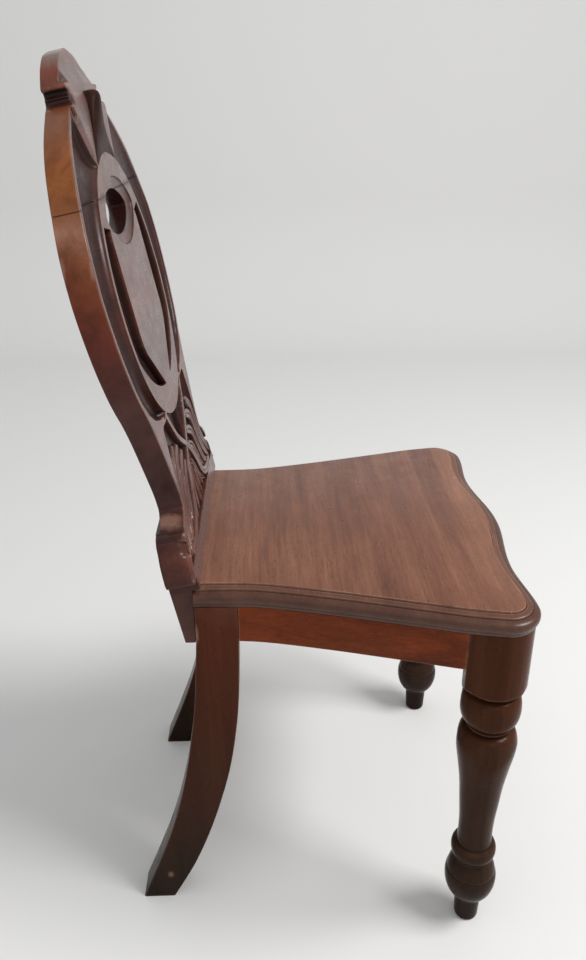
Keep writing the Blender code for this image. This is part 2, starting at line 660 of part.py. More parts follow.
# Rear rail: straight, between the blocks of the rear legs
seat_rail_rear = piece("seat_rail_rear", box_mesh(
    "seat_rail_rear", (GAP - REAR_LEG_INNER_X, REAR_RAIL_FRONT, RAIL_BOTTOM),
    (REAR_LEG_INNER_X - GAP, REAR_BLOCK_BACK, RAIL_TOP)), RAIL_WOOD)
for rail, key in ((seat_rail_front, "front"), (seat_rail_rear, "rear")):
    for sign in (1, -1):
        combine(rail, cutter(rail.name + "_tenon", tenon_box(key, *tenon_corners(key, sign))), "UNION")
    combine(rail, RAIL_SCREW_HOLES)
combine(seat_rail_rear, BACK_SCREW_HOLES)


# Front legs: turned, with a block left at the top that follows the seat's rounded corner. Below the rails
# the block's inner corner is rounded away.
def section(shares, radius, height, foot):
    return [(radius * across, foot + height * up) for across, up in shares]


def front_leg_profile():
    torus_foot = POMMEL_FOOT - UPPER_NECK_HEIGHT - TORUS_HEIGHT
    neck_foot = torus_foot - NECK_HEIGHT
    bulb_foot = TOE_HEIGHT
    collar_foot = bulb_foot + BULB_HEIGHT
    shaft_foot = collar_foot + COLLAR_HEIGHT
    profile = [(0, RAIL_TOP), (BLOCK_CORNER_RADIUS, RAIL_TOP)]
    flare = BLOCK_CORNER_RADIUS - POMMEL_FOOT_RADIUS
    profile += [(POMMEL_FOOT_RADIUS + flare * across, POMMEL_FOOT + POMMEL_HEIGHT * up)
                for across, up in POMMEL_SHARES]
    profile += section(UPPER_NECK_SHARES, UPPER_NECK_RADIUS, UPPER_NECK_HEIGHT, torus_foot + TORUS_HEIGHT)
    profile += section(TORUS_SHARES, TORUS_RADIUS, TORUS_HEIGHT, torus_foot)
    profile += section(NECK_SHARES, NECK_RADIUS, NECK_HEIGHT, neck_foot)
    profile += section(SHAFT_SHARES, SHAFT_RADIUS, neck_foot - shaft_foot, shaft_foot)
    profile += section(COLLAR_SHARES, COLLAR_RADIUS, COLLAR_HEIGHT, collar_foot)
    profile += section(BULB_SHARES, BULB_RADIUS, BULB_HEIGHT, bulb_foot)
    profile += section(TOE_SHARES, TOE_RADIUS, TOE_HEIGHT, 0)
    return profile


def front_leg(name, sign):
    block = [point for point in RAIL_FACE if point.x > BLOCK_INNER_X and point.y < BLOCK_REAR_Y]
    block.insert(0, Vector((side_x(RAIL_FACE, BLOCK_REAR_Y), BLOCK_REAR_Y)))
    block.append(Vector((BLOCK_INNER_X, front_y(RAIL_FACE, BLOCK_INNER_X))))
    block.append(FRONT_LEG_CORNER)
    rounding = arc((block[0].x, 0), (block[0].x - BLOCK_INNER_X, BLOCK_REAR_Y), 180, 90, 8)[1:-1]
    beyond = Vector((BLOCK_INNER_X - CUT_OVERRUN, BLOCK_REAR_Y + CUT_OVERRUN))
    corner = [Vector((beyond.x, 0))] + rounding + [Vector((block[0].x, beyond.y)), beyond]
    reach = 2 * BLOCK_CORNER_RADIUS
    around = [Vector((FRONT_LEG_X + reach * x, reach * y)) for x, y in ((1, 1), (1, -1), (-1, -1), (-1, 1))]
    if sign < 0:
        block, corner, around = flipped(block), flipped(corner), flipped(around)
    mesh = turned(name, front_leg_profile(), TURNING_SIDES)
    mesh.transform(Matrix.Translation((sign * FRONT_LEG_X, 0, 0)))
    leg = piece(name, mesh, LEG_WOOD)
    combine(leg, cutter(name + "_block", flat_solid(
        "block_waste", [around, block], POMMEL_FOOT, RAIL_TOP + CUT_OVERRUN)))
    combine(leg, cutter(name + "_corner", flat_solid(
        "corner_waste", [corner], POMMEL_FOOT - UPPER_NECK_HEIGHT / 2, RAIL_BOTTOM)))
    for key in ("side_front", "front"):
        combine(leg, cutter(name + "_" + key, tenon_box(key, *tenon_corners(key, sign), GAP)))
    shade(leg)


front_leg("front_leg_right", -1)
front_leg("front_leg_left", 1)


# Rear legs: sawn to a sabre curve, edges eased
def rear_leg(name, sign):
    sweep = [(RAIL_BOTTOM * up,
              REAR_BLOCK_FRONT + (REAR_FOOT_FRONT - REAR_BLOCK_FRONT) * front,
              REAR_BLOCK_BACK + (REAR_FOOT_BACK - REAR_BLOCK_BACK) * rear) for up, front, rear in SABRE_SHARES]
    front_line = smooth_path([(y, z) for z, y, _ in sweep], 2)
    rear_line = smooth_path([(y, z) for z, _, y in sweep], 2)
    outline = [Vector((REAR_BLOCK_BACK, RAIL_TOP)), Vector((REAR_BLOCK_FRONT, RAIL_TOP))]
    outline += front_line + rear_line[::-1]
    inner, outer = sorted((sign * REAR_LEG_INNER_X, sign * REAR_LEG_X))
    leg = piece(name, side_solid(name, outline, inner, outer), LEG_WOOD)
    ease = leg.modifiers.new("eased_edges", "BEVEL")
    ease.width = REAR_LEG_EDGE_ROUND
    ease.segments = 1
    ease.limit_method = "ANGLE"
    ease.angle_limit = math.radians(60)
    for key in ("side_rear", "rear"):
        combine(leg, cutter(name + "_" + key, tenon_box(key, *tenon_corners(key, sign), GAP)))
    combine(leg, BACK_SCREW_HOLES)


rear_leg("rear_leg_right", -1)
rear_leg("rear_leg_left", 1)


# Corner blocks: sawn to fill the corner between two rails and notched round the leg
def frame_opening():
    """The right half of the space inside the seat frame, with a gap all round."""
    inside = offset_path(RAIL_INSIDE, -GAP)
    front_inside = offset_path(FRONT_RAIL_INSIDE, -GAP)
    leg_x = BLOCK_INNER_X - GAP
    half = [Vector((0, REAR_RAIL_FRONT - GAP)), Vector((REAR_LEG_INNER_X - GAP, REAR_RAIL_FRONT - GAP)),
            Vector((REAR_LEG_INNER_X - GAP, REAR_BLOCK_FRONT - GAP))]
    half += side_stretch(inside, REAR_BLOCK_FRONT - GAP, BLOCK_REAR_Y + GAP)
    half += [Vector((leg_x, BLOCK_REAR_Y + GAP))]
    half += [point for point in front_stretch(front_inside, leg_x) if point.x > 0]
    half += [Vector((0, half[-1].y))]
    return half


BLOCK_UNDER = RAIL_TOP - BLOCK_DEPTH
OPENINGS = {
    1: cutter("opening_left", flat_solid("opening_left", [frame_opening()], BLOCK_UNDER, RAIL_TOP)),
    -1: cutter("opening_right", flat_solid("opening_right", [flipped(frame_opening())], BLOCK_UNDER, RAIL_TOP)),
}


def corner_block(name, side_end, rail_end, leg_corner, sign):
    face = (side_end - rail_end).normalized() * RAIL_THICKNESS
    away = (leg_corner - (side_end + rail_end) / 2).normalized() * 5 * RAIL_THICKNESS
    outline = [side_end + face, rail_end - face, rail_end - face + away, side_end + face + away]
    if sign < 0:
        outline = flipped(outline)
    mesh = flat_solid(name, [outline], BLOCK_UNDER - CUT_OVERRUN, RAIL_TOP + CUT_OVERRUN)
    block = piece(name, mesh, BLOCK_WOOD)
    combine(block, OPENINGS[sign], "INTERSECT")
    combine(block, RAIL_SCREW_HOLES)
    combine(block, SEAT_SCREW_HOLES)


for side, side_name in ((1, "left"), (-1, "right")):
    corner_block("corner_block_front_" + side_name, FRONT_BLOCK_SIDE_END, FRONT_BLOCK_RAIL_END,
                 FRONT_LEG_CORNER, side)
    corner_block("corner_block_rear_" + side_name, REAR_BLOCK_SIDE_END, REAR_BLOCK_RAIL_END,
                 REAR_LEG_CORNER, side)


# Back. All outlines are in X and the distance up the back from the seat's top.
def in_frame(shares):
    return [Vector((FRAME_HALF_WIDTH * across, FRAME_TOP * up)) for across, up in shares]


def back_outline():
    ear = in_frame(EAR_SHARES)
    foot = 2 * (RAIL_BOTTOM - SEAT_TOP)
    tail = [Vector((REAR_LEG_X, foot)), Vector((REAR_LEG_X, FRAME_TOP * LEDGE_SHARE))]
    crest = [Vector((CREST_HALF_WIDTH * across, FRAME_TOP + CREST_HEIGHT * up)) for across, up in CREST_SHARES]
    half = tail + smooth_path(ear, 2)[:-1] + smooth_path(in_frame(FRAME_SHARES), 2) + smooth_path(crest, 3)
    return mirrored(half)


def share_at(shares, place):
    """The second share of a table at a value of the first, in a straight line between its rows."""
    for first, second in zip(shares, shares[1:]):
        if place <= second[0]:
            return first[1] + (second[1] - first[1]) * (place - first[0]) / (second[0] - first[0])
    return shares[-1][1]


def ring_point(centre, radius, x, lower):
    """A point on a circle about the middle line at an X, in its lower or upper half."""
    rise = math.sqrt(radius ** 2 - x ** 2)
    return Vector((x, centre - rise if lower else centre + rise))


def angle_of(point, centre):
    return math.degrees(math.atan2(point.y - centre, point.x))


def to_frame(outline, angle):
    """How far the frame's outline is from the ring's centre, at an angle on the right side."""
    ray = Vector((math.cos(math.radians(angle)), math.sin(math.radians(angle))))
    reaches = []
    for first, second in zip(outline, outline[1:]):
        start, end = (point - Vector((0, RING_CENTRE)) for point in (first, second))
        left, right = ray.cross(start), ray.cross(end)
        if first.x > 0 and left <= 0 < right:
            reaches.append((start + (end - start) * left / (left - right)).dot(ray))
    return max(reaches)


def groove_outline():
    """The sunk groove on the right, between the frame, the tongue and the ring."""
    tongue_top = Vector((FRAME_HALF_WIDTH * FRAME_HEAD_SHARE - TONGUE_INSET, FRAME_TOP - FRAME_FILLET))
    end = angle_of(tongue_top, RING_CENTRE)
    outer = []
    for step in range(29):
        turn = step / 28
        share = share_at(GROOVE_SHARES, turn)
        angle = GROOVE_FOOT_ANGLE + (end - GROOVE_FOOT_ANGLE) * turn
        inset = to_frame(OUTLINE, angle) - FRAME_FILLET
        reach = RING_OUTER_RADIUS + (inset - RING_OUTER_RADIUS) * share
        outer.append(arc((0, RING_CENTRE), (reach, reach), angle, angle, 1)[0])
    top = ring_point(RING_CENTRE, RING_OUTER_RADIUS, TONGUE_FOOT_HALF_WIDTH, False)
    radii = (RING_OUTER_RADIUS, RING_OUTER_RADIUS)
    ring = arc((0, RING_CENTRE), radii, angle_of(top, RING_CENTRE), GROOVE_FOOT_ANGLE, 18)
    return outer + ring[:-1]


def recess_outline():
    """The sunk crescent on the right, between the ring and the shield."""
    tip = ring_point(RING_FOOT_CENTRE, RING_FOOT_RADIUS, SHIELD_TIP_HALF_WIDTH, True)
    lean = RING_INNER_RADIUS ** 2 - RING_FOOT_RADIUS ** 2 + RING_FOOT_RISE ** 2
    meet_y = lean / (2 * RING_FOOT_RISE)
    meet = Vector((math.sqrt(RING_INNER_RADIUS ** 2 - meet_y ** 2), RING_CENTRE + meet_y))
    top = HOLE_RISE - RING_BAND / 2
    top_angle = math.degrees(math.asin(top / RING_INNER_RADIUS))
    foot_arc = arc((0, RING_FOOT_CENTRE), (RING_FOOT_RADIUS, RING_FOOT_RADIUS),
                   angle_of(tip, RING_FOOT_CENTRE), angle_of(meet, RING_FOOT_CENTRE), 8)
    side_arc = arc((0, RING_CENTRE), (RING_INNER_RADIUS, RING_INNER_RADIUS),
                   angle_of(meet, RING_CENTRE), top_angle, 8)
    taper_start = tip.y + (SHIELD_HALF_WIDTH - SHIELD_TIP_HALF_WIDTH) * SHIELD_TAPER_SLOPE
    shield = [Vector((SHIELD_HALF_WIDTH, HOLE_CENTRE - SHIELD_TOP_DROP)), Vector((SHIELD_HALF_WIDTH, taper_start))]
    return foot_arc + side_arc[1:] + shield


def ellipse(half_width, half_height):
    """A pointed oval about the middle of the hand-hold: two shallow arcs, blended with an ellipse."""
    points = []
    for corner in arc((0, 0), (1, 1), 0, 360, 40)[:-1]:
        pointed = math.copysign(1 - corner.x ** 2, corner.y)
        points.append(Vector((half_width * corner.x,
                              HOLE_CENTRE + half_height * (corner.y + pointed) / 2)))
    return points


OUTLINE = back_outline()
beyond = 2 * FRAME_HALF_WIDTH
front_of_all = -ROLL_HEIGHT - CUT_OVERRUN
behind_all = BASE_THICKNESS + CUT_OVERRUN

groove_cutters = []
for side in (1, -1):
    for label, outline in (("groove", groove_outline()), ("recess", recess_outline())):
        shape = outline if side > 0 else flipped(outline)
        tool = cutter(label, board_solid(label, [shape], -CUT_OVERRUN, RELIEF_DEPTH), back_plane)
        groove_cutters.append(tool)
dish = cutter("dish", board_solid("dish", [ellipse(DISH_HALF_WIDTH, DISH_HALF_HEIGHT)],
                                  -CUT_OVERRUN, DISH_DEPTH), back_plane)
hand_hold = cutter("hand_hold", board_solid("hand_hold", [ellipse(HOLE_HALF_WIDTH, HOLE_HALF_HEIGHT)],
                                            -CUT_OVERRUN, behind_all), back_plane)

crest_face = [Vector((CREST_SETBACK * back, FRAME_TOP + CREST_HEIGHT * up)) for back, up in CREST_FACE_SHARES]
crest_waste = [Vector((front_of_all, crest_face[0].y)), *crest_face, Vector((front_of_all, crest_face[-1].y))]
crest_roll_back = cutter("crest_roll_back", side_solid(
    "crest_roll_back", crest_waste, -2 * CREST_HALF_WIDTH, 2 * CREST_HALF_WIDTH), back_plane)

below_joint = cutter("below_joint", box_mesh(
    "below_joint", (-beyond, front_of_all, -SEAT_TOP - CUT_OVERRUN),
    (beyond, behind_all, BOARD_JOINT + GAP / 2)), back_plane)
above_joint = cutter("above_joint", box_mesh(
    "above_joint", (-beyond, front_of_all, BOARD_JOINT - GAP / 2),
    (beyond, behind_all, CREST_TOP + CUT_OVERRUN)), back_plane)
thinner_above_base = cutter("thinner_above_base", box_mesh(
    "thinner_above_base", (-beyond, BACK_THICKNESS, BASE_TOP), (beyond, behind_all, BOARD_JOINT + CUT_OVERRUN)),
    back_plane)
under_tail = cutter("under_tail", box_mesh(
    "under_tail", (-beyond, -beyond, -SEAT_TOP - CUT_OVERRUN), (beyond, beyond, RAIL_BOTTOM)))
under_tail.location.y = REAR_BLOCK_BACK
behind_seat = cutter("behind_seat", box_mesh(
    "behind_seat", (-beyond, REAR_BLOCK_BACK - beyond, -CUT_OVERRUN),
    (beyond, REAR_BLOCK_BACK + GAP, SEAT_TOP + GAP)))

joint_angle = math.degrees(math.atan2(HOLE_RISE + JOINT_RISE, FRAME_HALF_WIDTH))
joint_reach = to_frame(OUTLINE, joint_angle) * math.cos(math.radians(joint_angle))
dowel_setback = (RELIEF_DEPTH + BACK_THICKNESS) / 2
dowel_places = [Matrix.Translation((sign * x, dowel_setback, BOARD_JOINT))
                for x in (HOLE_HALF_WIDTH + DOWEL_FROM_HOLE, joint_reach - DOWEL_FROM_EDGE) for sign in (1, -1)]


def dowel_mesh(name, radius, length):
    bm = bmesh.new()
    bmesh.ops.create_cone(bm, cap_ends=True, segments=14, radius1=radius, radius2=radius, depth=length)
    return new_mesh(name, bm)


dowel_holes = cutter("dowel_holes", placed(
    "dowel_holes", dowel_mesh("hole", DOWEL_RADIUS + GAP, DOWEL_LENGTH + 2 * GAP), dowel_places), back_plane)

# Upper board: crest, tongue, top of the frame and of the ring, top of the hand-hold
back_upper_board = piece("back_upper_board", board_solid(
    "back_upper_board", [OUTLINE], 0, BACK_THICKNESS), BACK_WOOD, back_plane)
for tool in (below_joint, crest_roll_back, groove_cutters[0], groove_cutters[2], dish, hand_hold, dowel_holes):
    combine(back_upper_board, tool)

# Lower board: the rest of the frame and ring, the shield, the base with its ears, and the tail behind the seat
back_lower_board = piece("back_lower_board", board_solid(
    "back_lower_board", [OUTLINE], 0, BASE_THICKNESS), BACK_WOOD, back_plane)
for tool in (above_joint, thinner_above_base, under_tail, behind_seat, *groove_cutters, dish, hand_hold,
             dowel_holes, BACK_SCREW_HOLES):
    combine(back_lower_board, tool)

copies("back_dowel", dowel_mesh("back_dowel", DOWEL_RADIUS, DOWEL_LENGTH), DOWEL_WOOD, dowel_places, back_plane)


# Roll: a half-round turning glued to the tongue, domed at its top. Its back follows the crest's face.
ROLL_STEP_SHARES = (0, 0.30, 0.58, 0.72, 0.80, 0.85, 0.90, 0.94, 0.975, 1.0)
DOME_START_SHARE = 0.80
DOME_TIP_SHARE = 0.15


def crest_setback(height):
    """How far the back's face lies behind its front plane at a height."""
    shares = [(up, back) for back, up in CREST_FACE_SHARES]
    place = max(shares[0][0], (height - FRAME_TOP) / CREST_HEIGHT)
    return CREST_SETBACK * share_at(shares, place)


def roll_ring(height):
    up = (height - ROLL_FOOT) / (ROLL_TOP - ROLL_FOOT)
    dome = max(0, (up - DOME_START_SHARE) / (1 - DOME_START_SHARE))
    swell = max(DOME_TIP_SHARE, math.sqrt(max(0, 1 - dome ** 2)))
    half_width = ROLL_HALF_WIDTH * swell
    back = crest_setback(height) - GAP
    bow = arc((0, -GAP - ROLL_EDGE), (half_width, (ROLL_EDGE + GAP - ROLL_HEIGHT) * swell), 0, 180, 12)
    ring = [Vector((half_width, back))] + bow + [Vector((-half_width, back))]
    return [(point.x, point.y, height) for point in ring]


ROLL_FOOT = FRAME_TOP - ROLL_DROP
ROLL_TOP = FRAME_TOP + ROLL_RISE
roll_heights = {ROLL_FOOT + (ROLL_TOP - ROLL_FOOT) * share for share in ROLL_STEP_SHARES}
roll_heights |= {point.y for point in crest_face if ROLL_FOOT < point.y < ROLL_TOP}
crest_roll = piece("crest_roll", loft("crest_roll", [roll_ring(height) for height in sorted(roll_heights)]),
                   BACK_WOOD, back_plane)
shade(crest_roll)

# Screws: two from each corner block into the rails, one from each up into the seat, and six through the tail
copies("corner_block_screw", slotted_screw("corner_block_screw", BLOCK_SCREW_LENGTH), SCREW_STEEL,
       RAIL_SCREW_PLACES)
copies("seat_screw", slotted_screw("seat_screw", SEAT_SCREW_LENGTH), SCREW_STEEL, SEAT_SCREW_PLACES)
copies("back_screw", slotted_screw("back_screw", BACK_SCREW_LENGTH), SCREW_STEEL, BACK_SCREW_MATRICES)
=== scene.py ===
import math

import bpy
import bmesh
import numpy as np
from mathutils import Matrix, Vector
from mathutils.geometry import delaunay_2d_cdt


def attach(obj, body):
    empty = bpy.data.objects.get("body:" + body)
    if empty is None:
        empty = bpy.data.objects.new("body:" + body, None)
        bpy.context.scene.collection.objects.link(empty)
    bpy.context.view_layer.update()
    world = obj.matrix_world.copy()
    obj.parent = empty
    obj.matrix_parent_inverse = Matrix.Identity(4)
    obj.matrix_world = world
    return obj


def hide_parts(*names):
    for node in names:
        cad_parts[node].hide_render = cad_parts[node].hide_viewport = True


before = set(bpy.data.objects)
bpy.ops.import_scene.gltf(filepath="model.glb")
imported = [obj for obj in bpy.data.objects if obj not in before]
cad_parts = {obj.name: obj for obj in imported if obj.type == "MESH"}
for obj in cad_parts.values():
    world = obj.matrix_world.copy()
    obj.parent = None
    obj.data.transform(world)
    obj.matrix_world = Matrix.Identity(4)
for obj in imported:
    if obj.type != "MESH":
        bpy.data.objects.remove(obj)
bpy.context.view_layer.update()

# View: the photograph was taken from the sitter's right side, standing, with the camera turned a little down.
# The camera's place, turn and lens were solved from the chair's own straight lines.
CAMERA_PLACE = Vector((-0.8330, 0.03437, 0.8686))
CAMERA_AZIMUTH, CAMERA_ELEVATION, CAMERA_ROLL = (math.radians(a) for a in (268.27, 25.09, -0.32))
CAMERA_LENS_MM = 30.77
CAMERA_NEAREST = 0.02

ahead = Vector((-math.sin(CAMERA_AZIMUTH) * math.cos(CAMERA_ELEVATION),
                math.cos(CAMERA_AZIMUTH) * math.cos(CAMERA_ELEVATION), -math.sin(CAMERA_ELEVATION)))
level_right = ahead.cross(Vector((0, 0, 1))).normalized()
level_up = level_right.cross(ahead)
view_right = level_right * math.cos(CAMERA_ROLL) + level_up * math.sin(CAMERA_ROLL)
view_up = level_up * math.cos(CAMERA_ROLL) - level_right * math.sin(CAMERA_ROLL)
camera_data = bpy.data.cameras.new("photograph_view")
camera_data.lens = CAMERA_LENS_MM
camera_data.clip_start = CAMERA_NEAREST
camera = bpy.data.objects.new("photograph_view", camera_data)
turn = Matrix((view_right, view_up, -ahead)).transposed()
camera.matrix_world = Matrix.Translation(CAMERA_PLACE) @ turn.to_4x4()
bpy.context.scene.collection.objects.link(camera)
bpy.context.scene.camera = camera
bpy.context.scene.view_settings.view_transform = "Standard"

# Seat board: one wide mahogany plank with a serpentine front and flared sides, its edge worked on three sides
# to a rounded nose with two quirks above. It lies on the rails and legs and is screwed from below.
SEAT_TOP, SEAT_THICKNESS = 0.431, 0.021
SEAT_HALF_WIDTH, SEAT_REAR_HALF_WIDTH = 0.2130, 0.1505
SEAT_FRONT_SWELL, SEAT_FRONT_DIP, SEAT_FRONT_CORNER = 0.0415, 0.0305, 0.0370
SEAT_CORNER_ROUND = 0.034
SEAT_BACK_Y = 0.2979
LEG_AXIS_Y = -0.18505174
SIDE_FLARE = ((0.00, 0.000), (0.12, 0.110), (0.26, 0.300), (0.42, 0.520), (0.57, 0.715), (0.74, 0.910),
              (0.85, 0.985), (1.00, 1.000))
# Worked edge from the underside up: how far in from the edge, and how high, in millimetres
SEAT_EDGE = ((3.4, 0.0), (3.1, 0.4), (3.0, 2.9), (2.6, 3.6), (1.7, 4.4), (0.9, 5.6), (0.35, 7.1), (0.05, 8.8),
             (0.0, 9.9), (0.08, 11.0), (0.4, 12.1), (1.0, 13.2), (1.9, 14.2), (3.2, 15.0), (4.8, 15.6),
             (6.3, 15.9), (7.0, 15.9), (7.3, 15.5), (7.6, 15.5), (7.8, 16.0), (7.9, 17.3), (8.2, 17.8),
             (9.2, 18.2), (10.8, 18.6), (12.6, 18.9), (13.7, 18.9), (14.1, 18.4), (14.4, 18.3), (14.7, 18.7),
             (14.8, 20.2), (15.1, 20.8), (15.8, 21.0))
# How much painted shade darkens the nose and the quirks, by how far in from the edge, in millimetres
NOSE_SHADE, QUIRK_SHADE, NOSE_WIDTH_MM, QUIRK_WIDTH_MM = 0.85, 0.55, 6.5, 13
WEAR_REACH = 0.0016
GRIME_COLOUR = (0.012, 0.007, 0.005, 1)


def smooth_line(points, steps):
    """A smooth curve through points, with so many steps between neighbours."""
    points = np.asarray(points, float)
    padded = np.vstack([points[:1], points, points[-1:]])
    t = (np.arange(steps) / steps)[:, None]
    runs = [0.5 * (2 * b + (c - a) * t + (2 * a - 5 * b + 4 * c - d) * t ** 2 + (3 * b - a - 3 * c + d) * t ** 3)
            for a, b, c, d in zip(padded, padded[1:], padded[2:], padded[3:])]
    return np.vstack(runs + [points[-1:]])


def left_of(line):
    """The direction to the left of an open line at each of its points."""
    along = np.vstack([line[1] - line[0], line[2:] - line[:-2], line[-1] - line[-2]])
    along /= np.linalg.norm(along, axis=1)[:, None]
    return np.stack([-along[:, 1], along[:, 0]], 1)


def inset_line(line, distance):
    """An open line moved to its left by a distance."""
    return line + left_of(line) * distance


def seat_plan():
    """The seat's edge in plan, from its rear left corner forward and round to its rear right corner."""
    corner = np.array([SEAT_HALF_WIDTH - SEAT_CORNER_ROUND, SEAT_CORNER_ROUND - SEAT_FRONT_CORNER])
    narrowing = SEAT_HALF_WIDTH - SEAT_REAR_HALF_WIDTH
    side = smooth_line([(SEAT_HALF_WIDTH - narrowing * across, corner[1] + (SEAT_BACK_Y - corner[1]) * back)
                        for back, across in SIDE_FLARE], 8)[::-1]
    turns = np.radians(np.linspace(0, -90, 25))[1:]
    bend = corner + SEAT_CORNER_ROUND * np.stack([np.cos(turns), np.sin(turns)], 1)
    x = np.linspace(corner[0], 0, 46)[1:]
    dip_x = SEAT_HALF_WIDTH / 2
    swell = (SEAT_FRONT_SWELL - SEAT_FRONT_DIP) * (1 + np.cos(np.pi * np.minimum(x / dip_x, 1))) / 2
    rise = np.clip((x - dip_x) / (corner[0] - dip_x), 0, 1)
    y = -(SEAT_FRONT_DIP + swell + (SEAT_FRONT_CORNER - SEAT_FRONT_DIP) * (3 - 2 * rise) * rise ** 2)
    half = np.vstack([side, bend, np.stack([x, y], 1)])
    return np.vstack([half, half[-2::-1] * (-1, 1)])


def ring_loft(name, rings):
    """Closed rings of equally many points, joined one to the next and closed at both ends."""
    count = len(rings[0])
    points = [tuple(point) for ring in rings for point in ring]
    faces = [(r * count + i, r * count + (i + 1) % count, (r + 1) * count + (i + 1) % count, (r + 1) * count + i)
             for r in range(len(rings) - 1) for i in range(count)]
    faces += [tuple(range(count))[::-1], tuple(range((len(rings) - 1) * count, len(rings) * count))]
    mesh = bpy.data.meshes.new(name)
    mesh.from_pydata(points, [], faces)
    bm = bmesh.new()
    bm.from_mesh(mesh)
    bmesh.ops.triangulate(bm, faces=[face for face in bm.faces if len(face.verts) > 4])
    bmesh.ops.recalc_face_normals(bm, faces=bm.faces)
    bm.to_mesh(mesh)
    bm.free()
    return mesh


def wear_marks(mesh):
    """Stores how far each point stands proud of its neighbours, for worn arrises, or lies below them, for grime."""
    points = np.array([v.co for v in mesh.vertices])
    normals = np.array([v.normal for v in mesh.vertices])
    ends = np.array([e.vertices for e in mesh.edges])
    steps = points[ends[:, 1]] - points[ends[:, 0]]
    lengths = np.linalg.norm(steps, axis=1) + 1e-9
    bend, most = np.zeros(len(points)), np.zeros(len(points))
    for here, sign in ((0, 1), (1, -1)):
        slope = sign * np.einsum("ij,ij->i", steps, normals[ends[:, here]]) / lengths
        np.add.at(bend, ends[:, here], -slope * np.minimum(WEAR_REACH / lengths, 1))
        np.add.at(most, ends[:, here], 1)
    bend /= np.maximum(most, 1)
    marks = mesh.attributes.new("wear", "FLOAT", "POINT")
    marks.data.foreach_set("value", np.clip(bend * 2.2, -1, 1).astype(np.float32))


def chair_piece(name, mesh, material, node_names, sharp, painted_shade=None, other_finishes=()):
    """A finished piece of the chair, standing for one or more solids of the frame."""
    # Painted shade, kept as a point attribute that the finish reads
    if painted_shade is not None:
        marks = mesh.attributes.new("painted_shade", "FLOAT", "POINT")
        marks.data.foreach_set("value", np.asarray(painted_shade, np.float32))
    mesh.transform(Matrix.Translation((0, LEG_AXIS_Y, 0)))
    mesh.shade_smooth()
    mesh.set_sharp_from_angle(angle=math.radians(sharp))
    mesh.materials.append(material)
    kinds = np.zeros(len(mesh.polygons), np.int32)
    for other, faces in other_finishes:
        kinds[faces] = len(mesh.materials)
        mesh.materials.append(other)
    mesh.polygons.foreach_set("material_index", kinds)
    wear_marks(mesh)
    piece = bpy.data.objects.new(name, mesh)
    bpy.context.scene.collection.objects.link(piece)
    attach(piece, "root")
    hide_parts(*node_names)
    return piece


def add_node(tree, kind, settings=None, **inputs):
    """A shader node. A value is set on its socket, and another node's output is linked to it."""
    node = tree.nodes.new("ShaderNode" + kind)
    for key, value in (settings or {}).items():
        setattr(node, key, value)
    for key, value in inputs.items():
        numbered = key[0] == "i" and key[1:].isdigit()
        socket = node.inputs[int(key[1:]) if numbered else key.replace("_", " ")]
        if isinstance(value, bpy.types.NodeSocket):
            tree.links.new(value, socket)
        else:
            socket.default_value = value
    return node


def tint(tree, how, factor, first, second):
    """Two colours blended by a factor."""
    node = add_node(tree, "Mix", {"data_type": "RGBA", "blend_type": how}, i0=factor, i6=first, i7=second)
    return node.outputs[2]


def spread(tree, value, low, high, to_low, to_high):
    """A value stretched from one range to another."""
    return add_node(tree, "MapRange", None, Value=value, From_Min=low, From_Max=high, To_Min=to_low,
                    To_Max=to_high).outputs[0]


def grain(tree, place, scale, detail, roughness, distortion=0):
    """Even noise, as fine as its scale."""
    return add_node(tree, "TexNoise", None, Vector=place, Scale=scale, Detail=detail, Roughness=roughness,
                    Distortion=distortion).outputs[0]


def calculated(tree, how, *values):
    """The result of one sum on plain values."""
    return add_node(tree, "Math", {"operation": how}, **{f"i{k}": v for k, v in enumerate(values)}).outputs[0]


